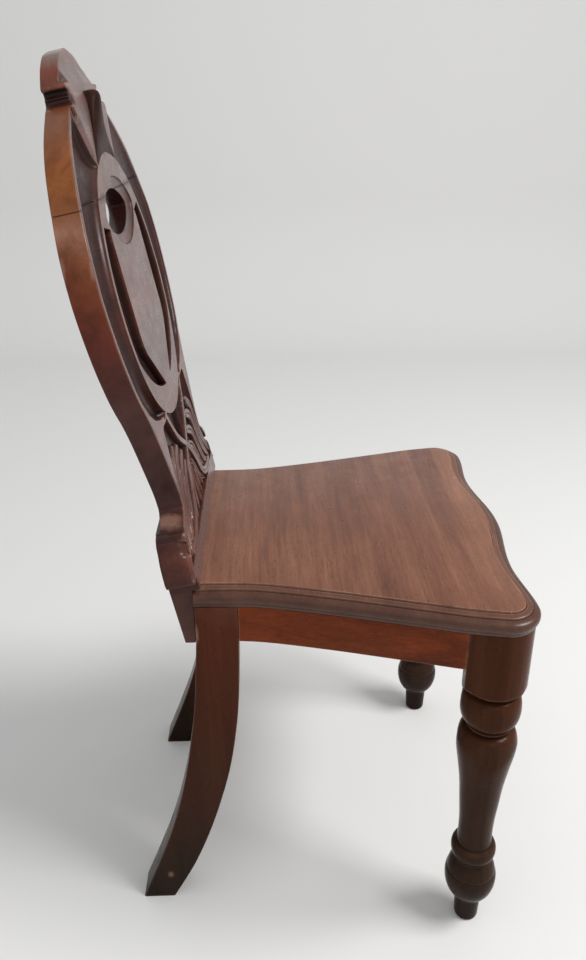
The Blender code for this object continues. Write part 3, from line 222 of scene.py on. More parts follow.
def polished_mahogany(name, along, pale, middle, dark, worn, gloss, lean=0.0, shine=0.08, light_by_height=None, rubs_and_reflections=(),
                      bloom=0.0):
    """Old French-polished mahogany: streaked grain and pores along one axis, patches of colour, worn arrises, and
    painted light and shade by height, in spots and in the sunk parts.
    """
    material = bpy.data.materials.new(name)
    material.use_nodes = True
    tree = material.node_tree
    shader = tree.nodes["Principled BSDF"]
    place = add_node(tree, "TexCoord").outputs["Object"]
    turned = add_node(tree, "Mapping", None, Vector=place, Rotation=(lean, 0, 0)).outputs[0]
    grain_place, pore_place = (
        add_node(tree, "Mapping", None, Vector=turned, Scale=[thin if axis == along else 1.0 for axis in range(3)]
                 ).outputs[0] for thin in (0.055, 0.10))
    streaks = grain(tree, grain_place, 38, 5, 0.62, 0.6)
    lines = grain(tree, grain_place, 330, 4, 0.7)
    pores = grain(tree, pore_place, 1150, 2, 0.55)
    patches = grain(tree, place, 8.5, 4, 0.55, 0.4)
    smears = grain(tree, place, 46, 5, 0.65)
    ramp = add_node(tree, "ValToRGB", None, Fac=streaks)
    stops = ramp.color_ramp.elements
    stops[0].position, stops[0].color = 0.30, (*dark, 1)
    stops[1].position, stops[1].color = 0.72, (*pale, 1)
    stops.new(0.50).color = (*middle, 1)
    fine_lines = tint(tree, "MIX", spread(tree, lines, 0.32, 0.68, 0.0, 1.0), (0.52, 0.45, 0.42, 1),
                      (1.25, 1.2, 1.15, 1))
    colour = tint(tree, "MULTIPLY", 0.55, ramp.outputs[0], fine_lines)
    colour = tint(tree, "MIX", spread(tree, patches, 0.36, 0.70, 0.0, 0.55), colour, (*dark, 1))
    # Tones by height that paint light and shade: darker toward the floor, lighter where the light falls from above
    if light_by_height:
        height = add_node(tree, "SeparateXYZ", None, Vector=place).outputs["Z"]
        lift = calculated(tree, "MULTIPLY_ADD", patches, 0.05, height)
        low, high = light_by_height[0][0], light_by_height[-1][0]
        tones = add_node(tree, "ValToRGB", None, Fac=spread(tree, lift, low + 0.025, high + 0.025, 0.0, 1.0))
        stops = tones.color_ramp.elements
        stops[0].color, stops[1].color = (*light_by_height[0][1], 1), (*light_by_height[-1][1], 1)
        for up, tone in light_by_height[1:-1]:
            stops.new((up - low) / (high - low)).color = (*tone, 1)
        streaked = tint(tree, "MIX", spread(tree, streaks, 0.32, 0.68, 0, 1), (0.62, 0.56, 0.52, 1),
                        (1.3, 1.3, 1.3, 1))
        colour = tint(tree, "MIX", 0.94, colour, tint(tree, "MULTIPLY", 0.8, tones.outputs[0], streaked))
    # Spots toward the worn colour: rubbed bare wood, and at some places a painted reflection
    for centre, size, strength in rubs_and_reflections:
        away = add_node(tree, "VectorMath", {"operation": "SUBTRACT"}, i0=place, i1=centre).outputs[0]
        away = add_node(tree, "VectorMath", {"operation": "DIVIDE"}, i0=away, i1=size).outputs[0]
        away = add_node(tree, "VectorMath", {"operation": "LENGTH"}, i0=away).outputs["Value"]
        ragged = calculated(tree, "MULTIPLY_ADD", smears, 1.6, away)
        colour = tint(tree, "MIX", spread(tree, ragged, 1.8, 1.2, 0.0, strength), colour, (*worn, 1))
    colour = tint(tree, "MULTIPLY", spread(tree, pores, 0.60, 0.70, 0.0, 0.6), colour, (0.30, 0.22, 0.20, 1))
    marks = add_node(tree, "Attribute", {"attribute_name": "wear"}).outputs["Fac"]
    rubbed = calculated(tree, "MULTIPLY", spread(tree, marks, 0.12, 0.50, 0.0, 0.60),
                        spread(tree, smears, 0.36, 0.60, 0.15, 1.0))
    colour = tint(tree, "MIX", rubbed, colour, (*worn, 1))
    # Painted shade: the colour goes toward near black where the point's shade attribute is high
    sunk = add_node(tree, "Attribute", {"attribute_name": "painted_shade"}).outputs["Fac"]
    painted_shade_colour = tuple(c * 0.25 for c in dark) + (1,)
    colour = tint(tree, "MIX", spread(tree, sunk, 0.0, 1.0, 0.0, 0.78), colour, painted_shade_colour)
    colour = tint(tree, "MIX", spread(tree, marks, -0.05, -0.35, 0.0, 0.85), colour, GRIME_COLOUR)
    tree.links.new(colour, shader.inputs["Base Color"])
    dulled = calculated(tree, "ADD", spread(tree, smears, 0.30, 0.72, gloss - 0.06, gloss + 0.14),
                        spread(tree, marks, -0.05, -0.40, 0.0, 0.30))
    tree.links.new(dulled, shader.inputs["Roughness"])
    relief = calculated(tree, "MULTIPLY_ADD", pores, -0.5, lines)
    bump = add_node(tree, "Bump", None, Strength=0.10, Distance=0.0004, Height=relief).outputs[0]
    tree.links.new(bump, shader.inputs["Normal"])
    shader.inputs["Specular IOR Level"].default_value = shine
    shader.inputs["Sheen Weight"].default_value = bloom
    shader.inputs["Sheen Roughness"].default_value = 0.35
    shader.inputs["Sheen Tint"].default_value = (0.92, 0.86, 0.84, 1)
    return material


edge_line = seat_plan()
seat_rings = []
for inset_mm, height_mm in SEAT_EDGE:
    ring = inset_line(edge_line, -inset_mm / 1000)
    ring[0, 1] = ring[-1, 1] = SEAT_BACK_Y
    z = SEAT_TOP - SEAT_THICKNESS + height_mm / 1000
    seat_rings.append(np.column_stack([ring, np.full(len(ring), z)]))
seat_finish = polished_mahogany("seat_mahogany", 0, (0.262, 0.120, 0.072), (0.198, 0.083, 0.048),
                                (0.116, 0.043, 0.026), (0.42, 0.27, 0.19), 0.30, shine=0.3)
# Painted shade on the seat's worked edge, heaviest on the nose
edge_shade = np.repeat([NOSE_SHADE if inset_mm < NOSE_WIDTH_MM else QUIRK_SHADE if inset_mm < QUIRK_WIDTH_MM else 0.0
                        for inset_mm, _ in SEAT_EDGE], len(edge_line))
chair_piece("seat_plank", ring_loft("seat_plank", seat_rings), seat_finish, ["seat_board"], 40,
            edge_shade)

# Seat rails: mahogany rails sawn to the seat's plan, set back under its edge and tenoned into the legs. The front
# one is serpentine, the rear one straight. Their lower arrises are eased.
RAIL_TOP, RAIL_BOTTOM, RAIL_THICKNESS = 0.4097, 0.3677, 0.022
SIDE_RAIL_SETBACK, FRONT_RAIL_SETBACK = 0.0032, 0.0085
JOINT = 0.0003
LEG_X, BLOCK_INNER_X, BLOCK_REAR_Y = 0.1805, 0.150, 0.035
REAR_POST_INNER_X, REAR_POST_OUTER_X = 0.1125, 0.148
REAR_POST_FRONT_Y, REAR_POST_BACK_Y = 0.2543, 0.2979
# Rail section: share of the thickness from the outer face, and share of the height above the lower edge
EASED_SECTION = ((0.0, 1.0), (0.0, 0.05), (0.018, 0.018), (0.06, 0.0), (0.94, 0.0), (0.98, 0.018), (1.0, 0.05),
                 (1.0, 1.0))


def rail(name, line, node_name):
    """A rail lofted along the line of its outer face in plan."""
    rings = [[(*(outside + (inside - outside) * across), RAIL_BOTTOM + (RAIL_TOP - RAIL_BOTTOM) * up)
              for across, up in EASED_SECTION] for outside, inside in zip(line, inset_line(line, -RAIL_THICKNESS))]
    chair_piece(name, ring_loft(name, rings), rail_finish, [node_name], 40)


def cut_line(line, axis, low, high):
    """The stretch of a line between two values of X or Y, with its ends cut there."""
    run = np.flatnonzero((line[:, axis] > low) & (line[:, axis] < high))
    ends = []
    for here, beyond in ((run[0], run[0] - 1), (run[-1], run[-1] + 1)):
        if beyond in (-1, len(line)):
            ends.append(line[here])
            continue
        bound = low if line[beyond, axis] <= low else high
        share = (bound - line[here, axis]) / (line[beyond, axis] - line[here, axis])
        ends.append(line[here] + (line[beyond] - line[here]) * share)
    return np.vstack([ends[0][None], line[run], ends[1][None]])


rail_finish = polished_mahogany("rail_mahogany", 1, (0.250, 0.055, 0.016), (0.185, 0.036, 0.010),
                                (0.085, 0.020, 0.007), (0.36, 0.17, 0.09), 0.24)
side_face = inset_line(edge_line, -SIDE_RAIL_SETBACK)
front_face = inset_line(edge_line, -FRONT_RAIL_SETBACK)
front_face = front_face[front_face[:, 1] < 0]
left_side = cut_line(side_face[:len(edge_line) // 2], 1, BLOCK_REAR_Y + JOINT, REAR_POST_FRONT_Y - JOINT)
rear_reach = REAR_POST_INNER_X - JOINT
for side_name, line in (
        ("left", left_side), ("right", (left_side * (-1, 1))[::-1]),
        ("front", cut_line(front_face, 0, JOINT - BLOCK_INNER_X, BLOCK_INNER_X - JOINT)),
        ("rear", np.array([(-rear_reach, REAR_POST_BACK_Y), (rear_reach, REAR_POST_BACK_Y)]))):
    rail(side_name + "_rail", line, "seat_rail_" + side_name)

# Front legs: turned from dark mahogany, with a block left at the top that follows the seat's rounded corner.
# The block is mortised for the rails, and its inner corner is rounded away below them.
POMMEL_FOOT = 0.3335
TOE_HEIGHT, BULB_HEIGHT, COLLAR_HEIGHT, NECK_HEIGHT = 0.0355, 0.057, 0.0255, 0.0075
TORUS_HEIGHT, UPPER_NECK_HEIGHT = 0.0385, 0.006
TOE_RADIUS, BULB_RADIUS, COLLAR_RADIUS, SHAFT_RADIUS = 0.0148, 0.0286, 0.0247, 0.0313
NECK_RADIUS, TORUS_RADIUS, UPPER_NECK_RADIUS = 0.0232, 0.0309, 0.0240
BLOCK_ROUND = 0.050
LEG_SIDES = 96
# The pommel: radius and height above its foot
POMMEL = ((0.0500, 0.0252), (0.0455, 0.0166), (0.0400, 0.0102), (0.0352, 0.0053), (0.0316, 0.0022), (0.0292, 0.0005),
          (0.0270, 0.0))
# Each turned part: shares of its radius and of its height, from the top down
UPPER_NECK = ((0.90, 0.99), (0.93, 0.93), (1.00, 0.80), (1.01, 0.55), (0.99, 0.30), (0.92, 0.12), (0.90, 0.03))
TORUS = ((0.74, 0.995), (0.83, 0.965), (0.905, 0.905), (0.955, 0.82), (0.985, 0.70), (1.0, 0.56), (1.0, 0.46),
         (0.985, 0.32), (0.95, 0.19), (0.89, 0.09), (0.81, 0.03), (0.72, 0.004))
NECK = ((0.93, 0.98), (0.90, 0.86), (0.94, 0.74), (1.00, 0.62), (1.02, 0.48), (1.00, 0.34), (0.93, 0.22),
        (0.91, 0.08))
SHAFT = ((0.750, 1.000), (0.870, 0.985), (0.945, 0.955), (0.992, 0.915), (1.000, 0.880), (0.965, 0.810),
         (0.855, 0.680), (0.750, 0.540), (0.680, 0.380), (0.612, 0.210), (0.597, 0.105), (0.600, 0.045),
         (0.615, 0.004))
COLLAR = ((0.775, 0.995), (0.80, 0.97), (0.87, 0.935), (0.945, 0.86), (0.985, 0.76), (1.0, 0.64), (0.995, 0.50),
          (0.965, 0.37), (0.90, 0.26), (0.83, 0.20), (0.79, 0.17), (0.785, 0.13), (0.80, 0.06))
BULB = ((0.70, 0.995), (0.76, 0.955), (0.83, 0.895), (0.89, 0.82), (0.925, 0.745), (0.935, 0.715), (0.925, 0.700),
        (0.940, 0.690), (0.975, 0.650), (0.995, 0.580), (1.0, 0.50), (0.985, 0.40), (0.945, 0.30), (0.88, 0.205),
        (0.79, 0.12), (0.69, 0.055), (0.60, 0.02), (0.53, 0.0))
TOE = ((1.00, 0.985), (0.985, 0.80), (0.955, 0.50), (0.925, 0.22), (0.915, 0.10), (0.88, 0.04), (0.80, 0.008),
       (0.74, 0.0))
# Tones of the front legs by height, painted shade: darker toward the floor
LEG_TONES = ((0.00, (0.016, 0.010, 0.007)), (0.06, (0.028, 0.017, 0.012)), (0.13, (0.034, 0.018, 0.011)),
             (0.24, (0.038, 0.016, 0.008)), (0.33, (0.052, 0.018, 0.008)), (0.41, (0.060, 0.019, 0.008)))


def turned_profile():
    """(radius, height) of a front leg from the pommel down, as turned."""
    points = [(radius, POMMEL_FOOT + height) for radius, height in POMMEL]
    level = POMMEL_FOOT
    shaft_foot = TOE_HEIGHT + BULB_HEIGHT + COLLAR_HEIGHT
    shaft_height = level - UPPER_NECK_HEIGHT - TORUS_HEIGHT - NECK_HEIGHT - shaft_foot
    for shares, radius, height in (
            (UPPER_NECK, UPPER_NECK_RADIUS, UPPER_NECK_HEIGHT), (TORUS, TORUS_RADIUS, TORUS_HEIGHT),
            (NECK, NECK_RADIUS, NECK_HEIGHT), (smooth_line(SHAFT, 3), SHAFT_RADIUS, shaft_height),
            (COLLAR, COLLAR_RADIUS, COLLAR_HEIGHT), (BULB, BULB_RADIUS, BULB_HEIGHT), (TOE, TOE_RADIUS, TOE_HEIGHT)):
        level -= height
        points += [(radius * across, level + height * up) for across, up in shares]
    return points


def ray_reach(outline, directions):
    """How far a closed outline about the origin reaches along each direction."""
    steps = np.roll(outline, -1, axis=0) - outline
    reach = np.zeros(len(directions))
    for k, (dx, dy) in enumerate(directions):
        cross = dx * steps[:, 1] - dy * steps[:, 0]
        cross[np.abs(cross) < 1e-12] = 1e-12
        run = (outline[:, 0] * steps[:, 1] - outline[:, 1] * steps[:, 0]) / cross
        share = (outline[:, 0] * dy - outline[:, 1] * dx) / cross
        hit = (share >= -1e-9) & (share <= 1 + 1e-9) & (run > 0)
        reach[k] = run[hit].max()
    return reach


leg_finish = polished_mahogany("leg_mahogany", 2, (0.088, 0.027, 0.012), (0.060, 0.018, 0.008),
                               (0.026, 0.009, 0.005), (0.16, 0.08, 0.05), 0.16, shine=0.05, light_by_height=LEG_TONES)
corner_face = side_face[(side_face[:, 0] > BLOCK_INNER_X) & (side_face[:, 1] < BLOCK_REAR_Y)]
left_face = side_face[:len(side_face) // 2]
rear_corner = cut_line(left_face, 1, -1, BLOCK_REAR_Y)[0]
inner_front_y = float(np.interp(-BLOCK_INNER_X, -left_face[-60:, 0], left_face[-60:, 1]))
corners = [rear_corner, (BLOCK_INNER_X, inner_front_y), (BLOCK_INNER_X, BLOCK_REAR_Y)]
block_plan = np.vstack([rear_corner, corner_face, *corners[1:]])
turns = np.radians(np.linspace(180, 90, 15))[:-1]
rounded = np.stack([rear_corner[0] + (rear_corner[0] - BLOCK_INNER_X) * np.cos(turns),
                    BLOCK_REAR_Y * np.sin(turns)], 1)
foot_plan = np.vstack([block_plan[:-1], rounded])
angles = sorted(set(np.round(np.linspace(0, 2 * np.pi, LEG_SIDES, endpoint=False), 5))
                | {round(math.atan2(y, x - LEG_X) % (2 * math.pi) + shift, 5) for x, y in corners
                   for shift in (-0.02, 0, 0.02)})
directions = np.stack([np.cos(angles), np.sin(angles)], 1)
block_reach, foot_reach = (ray_reach(plan - (LEG_X, 0), directions) for plan in (block_plan, foot_plan))
leg_rings = []
for radius, height, reach in ([(BLOCK_ROUND, RAIL_TOP, block_reach), (BLOCK_ROUND, RAIL_BOTTOM, block_reach),
                               (BLOCK_ROUND, RAIL_BOTTOM - 0.0002, foot_reach)]
                              + [(r, z, foot_reach) for r, z in turned_profile()]):
    across = np.minimum(radius, reach)
    leg_rings.append(np.column_stack([directions * across[:, None] + (LEG_X, 0), np.full(len(across), height)]))
for side_name, side in (("right", -1), ("left", 1)):
    name = "front_leg_" + side_name
    chair_piece("front_leg_turned_" + side_name, ring_loft(name, [ring * (side, 1, 1) for ring in leg_rings]),
                leg_finish, [name], 32)

# Rear legs: sawn from 35 mm mahogany to a sabre curve and square in section, with eased arrises. Each has a
# straight block at the top that the rails are tenoned into and the back is screwed to.
# The curve: share of the height, and share of the sweep of its front and of its rear line
SABRE_LINES = ((1.00, 0.000, 0.000), (0.80, 0.030, 0.065), (0.667, 0.086, 0.142), (0.533, 0.178, 0.240),
               (0.40, 0.318, 0.372), (0.267, 0.492, 0.545), (0.133, 0.715, 0.765), (0.00, 1.000, 1.000))
REAR_FOOT_FRONT_Y, REAR_FOOT_BACK_Y = 0.3425, 0.3793
ARRIS = 0.0016
# Tones of the rear legs by height, painted shade: darker toward the floor
SABRE_TONES = ((0.00, (0.013, 0.008, 0.004)), (0.06, (0.020, 0.010, 0.005)), (0.16, (0.042, 0.014, 0.006)),
               (0.28, (0.056, 0.015, 0.006)), (0.41, (0.078, 0.018, 0.007)))
# Rubbed spots: place, reach each way, and how bare they are
SABRE_RUBS = (((-0.148, 0.1128, 0.377), (0.004, 0.004, 0.014), 0.8),
              ((-0.148, 0.160, 0.036), (0.004, 0.005, 0.007), 0.7))
sabre_finish = polished_mahogany("sabre_mahogany", 2, (0.105, 0.026, 0.011), (0.070, 0.017, 0.007),
                                 (0.034, 0.010, 0.005), (0.26, 0.14, 0.09), 0.20, light_by_height=SABRE_TONES, rubs_and_reflections=SABRE_RUBS)
sabre = smooth_line([(RAIL_BOTTOM * up, REAR_POST_FRONT_Y + (REAR_FOOT_FRONT_Y - REAR_POST_FRONT_Y) * front,
                      REAR_POST_BACK_Y + (REAR_FOOT_BACK_Y - REAR_POST_BACK_Y) * rear)
                     for up, front, rear in SABRE_LINES], 8)
sabre_rings = []
for z, front_y, back_y in [(RAIL_TOP, REAR_POST_FRONT_Y, REAR_POST_BACK_Y), *sabre]:
    outer_x, inner_x, rear_y, fore_y = (REAR_POST_OUTER_X - ARRIS, REAR_POST_INNER_X + ARRIS, back_y - ARRIS,
                                        front_y + ARRIS)
    sabre_rings.append(np.array([
        (x + ARRIS * math.cos(math.radians(start + turned)), y + ARRIS * math.sin(math.radians(start + turned)), z)
        for x, y, start in ((outer_x, rear_y, 0), (inner_x, rear_y, 90), (inner_x, fore_y, 180),
                            (outer_x, fore_y, 270))
        for turned in (0, 22, 45, 68, 90)]))
for side_name, side in (("right", -1), ("left", 1)):
    name = "rear_leg_" + side_name
    chair_piece("rear_leg_sabre_" + side_name, ring_loft(name, [ring * (side, 1, 1) for ring in sabre_rings]),
                sabre_finish, [name], 60)

# Corner blocks, dowels and screws: sawn and turned beech and aged steel, hidden inside the frame. Their solids
# are right as they are and only take a finish.
def bare_material(name, stretch, scale, metallic=0.0):
    """A new material with its noise, its shader and the place that the noise is taken from."""
    material = bpy.data.materials.new(name)
    material.use_nodes = True
    tree = material.node_tree
    tree.nodes["Principled BSDF"].inputs["Metallic"].default_value = metallic
    place = add_node(tree, "TexCoord").outputs["Object"]
    place = add_node(tree, "Mapping", None, Vector=place, Scale=stretch).outputs[0]
    return material, tree, place, grain(tree, place, scale, 4, 0.6)


def finish_bare(tree, colour, roughness, height, strength, distance):
    """Links a bare material's colour, roughness and fine relief."""
    inputs = tree.nodes["Principled BSDF"].inputs
    tree.links.new(colour, inputs["Base Color"])
    tree.links.new(roughness, inputs["Roughness"])
    bump = add_node(tree, "Bump", None, Strength=strength, Distance=distance, Height=height).outputs[0]
    tree.links.new(bump, inputs["Normal"])


def bare_beech(name, pale, dark):
    """Bare beech with short brown flecks and saw marks."""
    material, tree, place, figure = bare_material(name, (0.12, 1.0, 1.0), 160)
    flecks = add_node(tree, "TexVoronoi", None, Vector=place, Scale=420).outputs["Distance"]
    colour = tint(tree, "MIX", spread(tree, figure, 0.35, 0.68, 0, 1), (*dark, 1), (*pale, 1))
    colour = tint(tree, "MULTIPLY", spread(tree, flecks, 0.22, 0.05, 0, 0.6), colour, (0.45, 0.30, 0.20, 1))
    finish_bare(tree, colour, spread(tree, figure, 0.3, 0.7, 0.55, 0.80), figure, 0.25, 0.0005)
    return material


def aged_steel(name):
    """Old screws: grey steel gone brown in spots."""
    material, tree, _, spots = bare_material(name, (1.0, 1.0, 1.0), 420, 0.9)
    colour = tint(tree, "MIX", spread(tree, spots, 0.42, 0.60, 0, 1), (0.30, 0.28, 0.26, 1), (0.11, 0.055, 0.03, 1))
    finish_bare(tree, colour, spread(tree, spots, 0.35, 0.65, 0.32, 0.75), spots, 0.3, 0.0003)
    return material


hidden_finishes = (("screw", aged_steel("screw_steel")),
                   ("dowel", bare_beech("dowel_beech", (0.52, 0.37, 0.22), (0.38, 0.25, 0.14))),
                   ("corner_block", bare_beech("block_beech", (0.42, 0.28, 0.16), (0.27, 0.16, 0.085))))
for node_name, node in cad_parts.items():
    for word, finish in hidden_finishes:
        if word in node_name:
            node.material_slots[0].material = finish
            break

# Back: two mahogany boards glued edge to edge just below the top of the hand-hold, sawn to a round frame with ears
# at its foot and a crest at its head. The front is sunk and carved, and the lower board's tail is screwed on behind.
# Places on the back are given as X and height up its front plane, for the right half, which is then mirrored.
BACK_LEAN = math.radians(11.38)
BACK_FOOT_Y = 0.2910
BACK_THICKNESS, BASE_THICKNESS, BASE_TOP, BASE_STEP = 0.0246, 0.0295, 0.0610, 0.0009
FRAME_HALF_WIDTH, FRAME_TOP = 0.1838, 0.4386
RING_CENTRE, RING_OUTER, RING_INNER = 0.2695, 0.1285, 0.1225
RING_FOOT_CENTRE, RING_FOOT_RADIUS = 0.3221, 0.1504
HOLE_CENTRE, JOINT_HEIGHT = 0.3455, 0.3643
HOLE_HALF_WIDTH, HOLE_HALF_HEIGHT = 0.0598, 0.0206
DISH_HALF_WIDTH, DISH_HALF_HEIGHT, DISH_DEPTH = 0.0735, 0.0314, 0.005
SHIELD_HALF_WIDTH, SHIELD_TIP_HALF_WIDTH, SHIELD_TIP_HEIGHT, SHIELD_TOP_HEIGHT = 0.0765, 0.0176, 0.1727, 0.3330
TONGUE_HEAD, TONGUE_FOOT = (0.0770, 0.4405), (0.0475, 0.3889)
# Width of the flat margin outside the groove, along the groove from its foot to its head
MARGIN = ((0.0, 0.0060), (0.80, 0.0056), (0.89, 0.0043), (1.0, 0.0014))
# How far the frame's margin lies behind the front plane, by height
MARGIN_SINK = ((0.330, 0.0), (0.360, 0.0009), (0.392, 0.0015), (0.417, 0.0026), (0.4386, 0.0032), (0.4471, 0.0019),
               (0.4568, 0.0))
GROOVE_DEPTH, GROOVE_FULL_WIDTH, GROOVE_DEEPEST = 0.0088, 0.008, 0.60
RECESS_DEPTH, RECESS_HEAD_HALF_WIDTH, GROUND_DEPTH, WALL_RUN = 0.0085, 0.0730, 0.0062, 0.0006
TAIL_HALF_WIDTH, TAIL_FRONT_Y = 0.148, 0.2982
PLAIN_BAND_TOP = 0.0225
EAR_LINE = ((0.854, 0.027), (0.855, 0.042), (0.848, 0.062), (0.834, 0.083), (0.811, 0.100), (0.790, 0.119),
            (0.765, 0.129), (0.730, 0.138), (0.690, 0.150), (0.658, 0.157), (0.622, 0.166), (0.607, 0.174))
EAR_CREASE_POINT, EAR_CREASE_DEPTH = 28, 0.0016
FRAME_LINE = ((0.607, 0.174), (0.612, 0.205), (0.640, 0.246), (0.707, 0.324), (0.750, 0.369), (0.805, 0.413),
              (0.862, 0.449), (0.914, 0.4915), (0.971, 0.563), (1.000, 0.645), (0.9945, 0.702), (0.958, 0.763),
              (0.885, 0.821), (0.765, 0.894), (0.622, 0.950), (0.430, 1.000))
CREST_COVE = ((0.0772, 0.4397), (0.0738, 0.4410), (0.0706, 0.4426), (0.0685, 0.4444), (0.0675, 0.4462),
              (0.0672, 0.4471), (0.0681, 0.4475), (0.0681, 0.4481), (0.0669, 0.4485), (0.0656, 0.4496),
              (0.0648, 0.4512), (0.0652, 0.4527), (0.0667, 0.4537), (0.0688, 0.4543), (0.0701, 0.4553))
CREST_LINE = ((0.0701, 0.4553), (0.0703, 0.4568), (0.0697, 0.4579), (0.0683, 0.4590), (0.0580, 0.4677),
              (0.0460, 0.4757), (0.0270, 0.4843), (0.0000, 0.4890))
# How far the crest's face lies behind the front plane: height above the frame, setback. Near its middle the step
# is swept out into a slope.
CREST_FACE = ((-0.0022, 0.0), (0.0030, 0.0003), (0.0084, 0.0012), (0.0110, 0.0020), (0.0132, 0.0026),
              (0.0184, 0.0027), (0.0192, 0.0030), (0.0197, 0.0040), (0.0201, 0.0058), (0.0206, 0.0074),
              (0.0212, 0.0084), (0.0220, 0.0088), (0.0630, 0.0088))
CREST_SHELF, CREST_SLOPE, CREST_SLOPE_FOOT, CREST_SLOPE_TOP = 0.0027, 0.0061, 0.0160, 0.0360
# The groove's outer line: share of the turn from its foot, and share of the way out from ring to margin
GROOVE_LINE = ((0.00, 0.00), (0.06, 0.16), (0.12, 0.42), (0.17, 0.70), (0.22, 0.91), (0.28, 1.00), (1.00, 1.00))
GROOVE_FOOT_ANGLE = -60
GROUND_EDGE = ((0.0620, 0.1535), (0.0780, 0.1525), (0.0930, 0.1530), (0.0985, 0.1490), (0.1005, 0.1400),
               (0.1030, 0.1250), (0.1055, 0.1080), (0.1058, 0.0900), (0.1072, 0.0800), (0.1125, 0.0720),
               (0.1225, 0.0640), (0.1335, 0.0530), (0.1405, 0.0410), (0.1430, 0.0300), (0.1425, PLAIN_BAND_TOP))
# Carved base: the two stems that cross
STEM_LINE = ((0.068, 0.158), (0.060, 0.147), (0.050, 0.135), (0.038, 0.122), (0.027, 0.113), (0.013, 0.104),
             (0.000, 0.0955), (-0.013, 0.086), (-0.024, 0.076), (-0.034, 0.064), (-0.044, 0.050), (-0.056, 0.038),
             (-0.072, 0.0305), (-0.092, 0.0268), (-0.115, 0.0262))
STEM_HALF_WIDTH, STEM_SWELL, VEIN_WIDTH = 0.0036, 0.45, 0.0009
# The leaves as half width, height and spine: short ones fan out below, nested ones droop from the knot to each ear
LEAVES = (
    (0.0064, 0.0052, ((0.000, 0.0800), (0.000, 0.0500), (0.000, 0.0240))),
    (0.0062, 0.0050, ((0.006, 0.0770), (0.015, 0.0560), (0.021, 0.0270))),
    (0.0062, 0.0048, ((0.014, 0.0700), (0.029, 0.0500), (0.042, 0.0260))),
    (0.0048, 0.0042, ((0.026, 0.0560), (0.043, 0.0370), (0.063, 0.0250))),
    (0.0078, 0.0059, ((0.075, 0.1220), (0.0930, 0.1080), (0.0985, 0.0880), (0.1070, 0.0680), (0.1240, 0.0480),
                      (0.1385, 0.0290))),
    (0.0080, 0.0057, ((0.050, 0.1130), (0.0740, 0.1030), (0.0840, 0.0830), (0.0935, 0.0620), (0.1090, 0.0430),
                      (0.1260, 0.0270))),
    (0.0076, 0.0055, ((0.032, 0.1000), (0.0570, 0.0900), (0.0690, 0.0720), (0.0795, 0.0530), (0.0930, 0.0370),
                      (0.1090, 0.0300))),
    (0.0064, 0.0050, ((0.026, 0.0860), (0.0440, 0.0760), (0.0555, 0.0610), (0.0650, 0.0470), (0.0760, 0.0380))),
)
EDGE_STEPS = np.linspace(0, 1, 5)
FACE_ARRIS, REAR_ARRIS, HOLE_ARRIS, HOLE_REAR_ROUND, EAR_ROUND = 0.0012, 0.0010, 0.0006, 0.0045, 0.0088
THINNEST_ARRIS, JOINT_ARRIS, TAIL_ARRIS, HORN_SHARE = 0.00001, 0.0002, 0.0006, 0.35
# Screw wells in the tail's rear: places across it, and their radius and depth
WELL_XS, WELL_RADIUS, WELL_DEPTH, WELL_Z, WELL_SIDES = (0.13025, 0.061875, 0.02025), 0.0050, 0.0043, 0.3897, 24


def even_line(points, spacing):
    """A line taken again at an even spacing."""
    points = np.asarray(points, float)
    lengths = np.concatenate([[0], np.cumsum(np.linalg.norm(np.diff(points, axis=0), axis=1))])
    places = np.linspace(0, lengths[-1], max(2, int(round(lengths[-1] / spacing)) + 1))
    return np.stack([np.interp(places, lengths, points[:, axis]) for axis in (0, 1)], 1)


def line_reach(places, line):
    """How far each place is from an open line, and how far along the line its nearest point lies, from 0 to 1."""
    best = np.full(len(places), 9.0)
    share = np.zeros(len(places))
    lengths = np.linalg.norm(np.diff(line, axis=0), axis=1)
    starts = np.concatenate([[0], np.cumsum(lengths)])
    for start, step, length, before in zip(line, np.diff(line, axis=0), lengths, starts):
        along = np.clip((places - start) @ step / max(length ** 2, 1e-14), 0, 1)
        away = np.linalg.norm(places - start - along[:, None] * step, axis=1)
        nearer = away < best
        best[nearer] = away[nearer]
        share[nearer] = (before + along[nearer] * length) / starts[-1]
    return best, share


def away_from(places, line):
    """How far each place is from an open line."""
    return line_reach(places, line)[0]


def closed(loop):
    """A loop as an open line that ends where it began."""
    return np.vstack([loop, loop[:1]])


def within(places, outline):
    """Which places lie inside a closed outline."""
    inside = np.zeros(len(places), bool)
    for (x1, y1), (x2, y2) in zip(outline, np.roll(outline, -1, axis=0)):
        if y1 != y2:
            crosses = (y1 > places[:, 1]) != (y2 > places[:, 1])
            inside ^= crosses & (places[:, 0] < (x2 - x1) * (places[:, 1] - y1) / (y2 - y1) + x1)
    return inside


def circle_arc(centre, radius, start, end, steps):
    """Part of a circle about the middle line, between two angles in degrees."""
    turns = np.radians(np.linspace(start, end, steps))
    return np.stack([radius * np.cos(turns), centre + radius * np.sin(turns)], 1)


def ease(value, low, high):
    """A smooth rise from 0 to 1 between two values."""
    share = np.clip((value - low) / (high - low), 0, 1)
    return share * share * (3 - 2 * share)


def cove(share):
    """The depth of a hollow that starts steep and flattens out, from 0 to 1."""
    return np.sqrt(np.maximum(0, 1 - (1 - np.clip(share, 0, 1)) ** 2))


def from_table(table, value):
    """A table's second column, read at a value of its first."""
    firsts, seconds = zip(*table)
    return np.interp(value, firsts, seconds)


def pointed_oval(half_width, half_height, steps):
    """The right half of a pointed oval about the middle of the hand-hold, from its top down."""
    turns = np.radians(np.linspace(90, -90, steps))
    bulge = np.sign(np.sin(turns)) * (1 - np.cos(turns) ** 2)
    return np.stack([half_width * np.cos(turns), HOLE_CENTRE + half_height * (np.sin(turns) + bulge) / 2], 1)


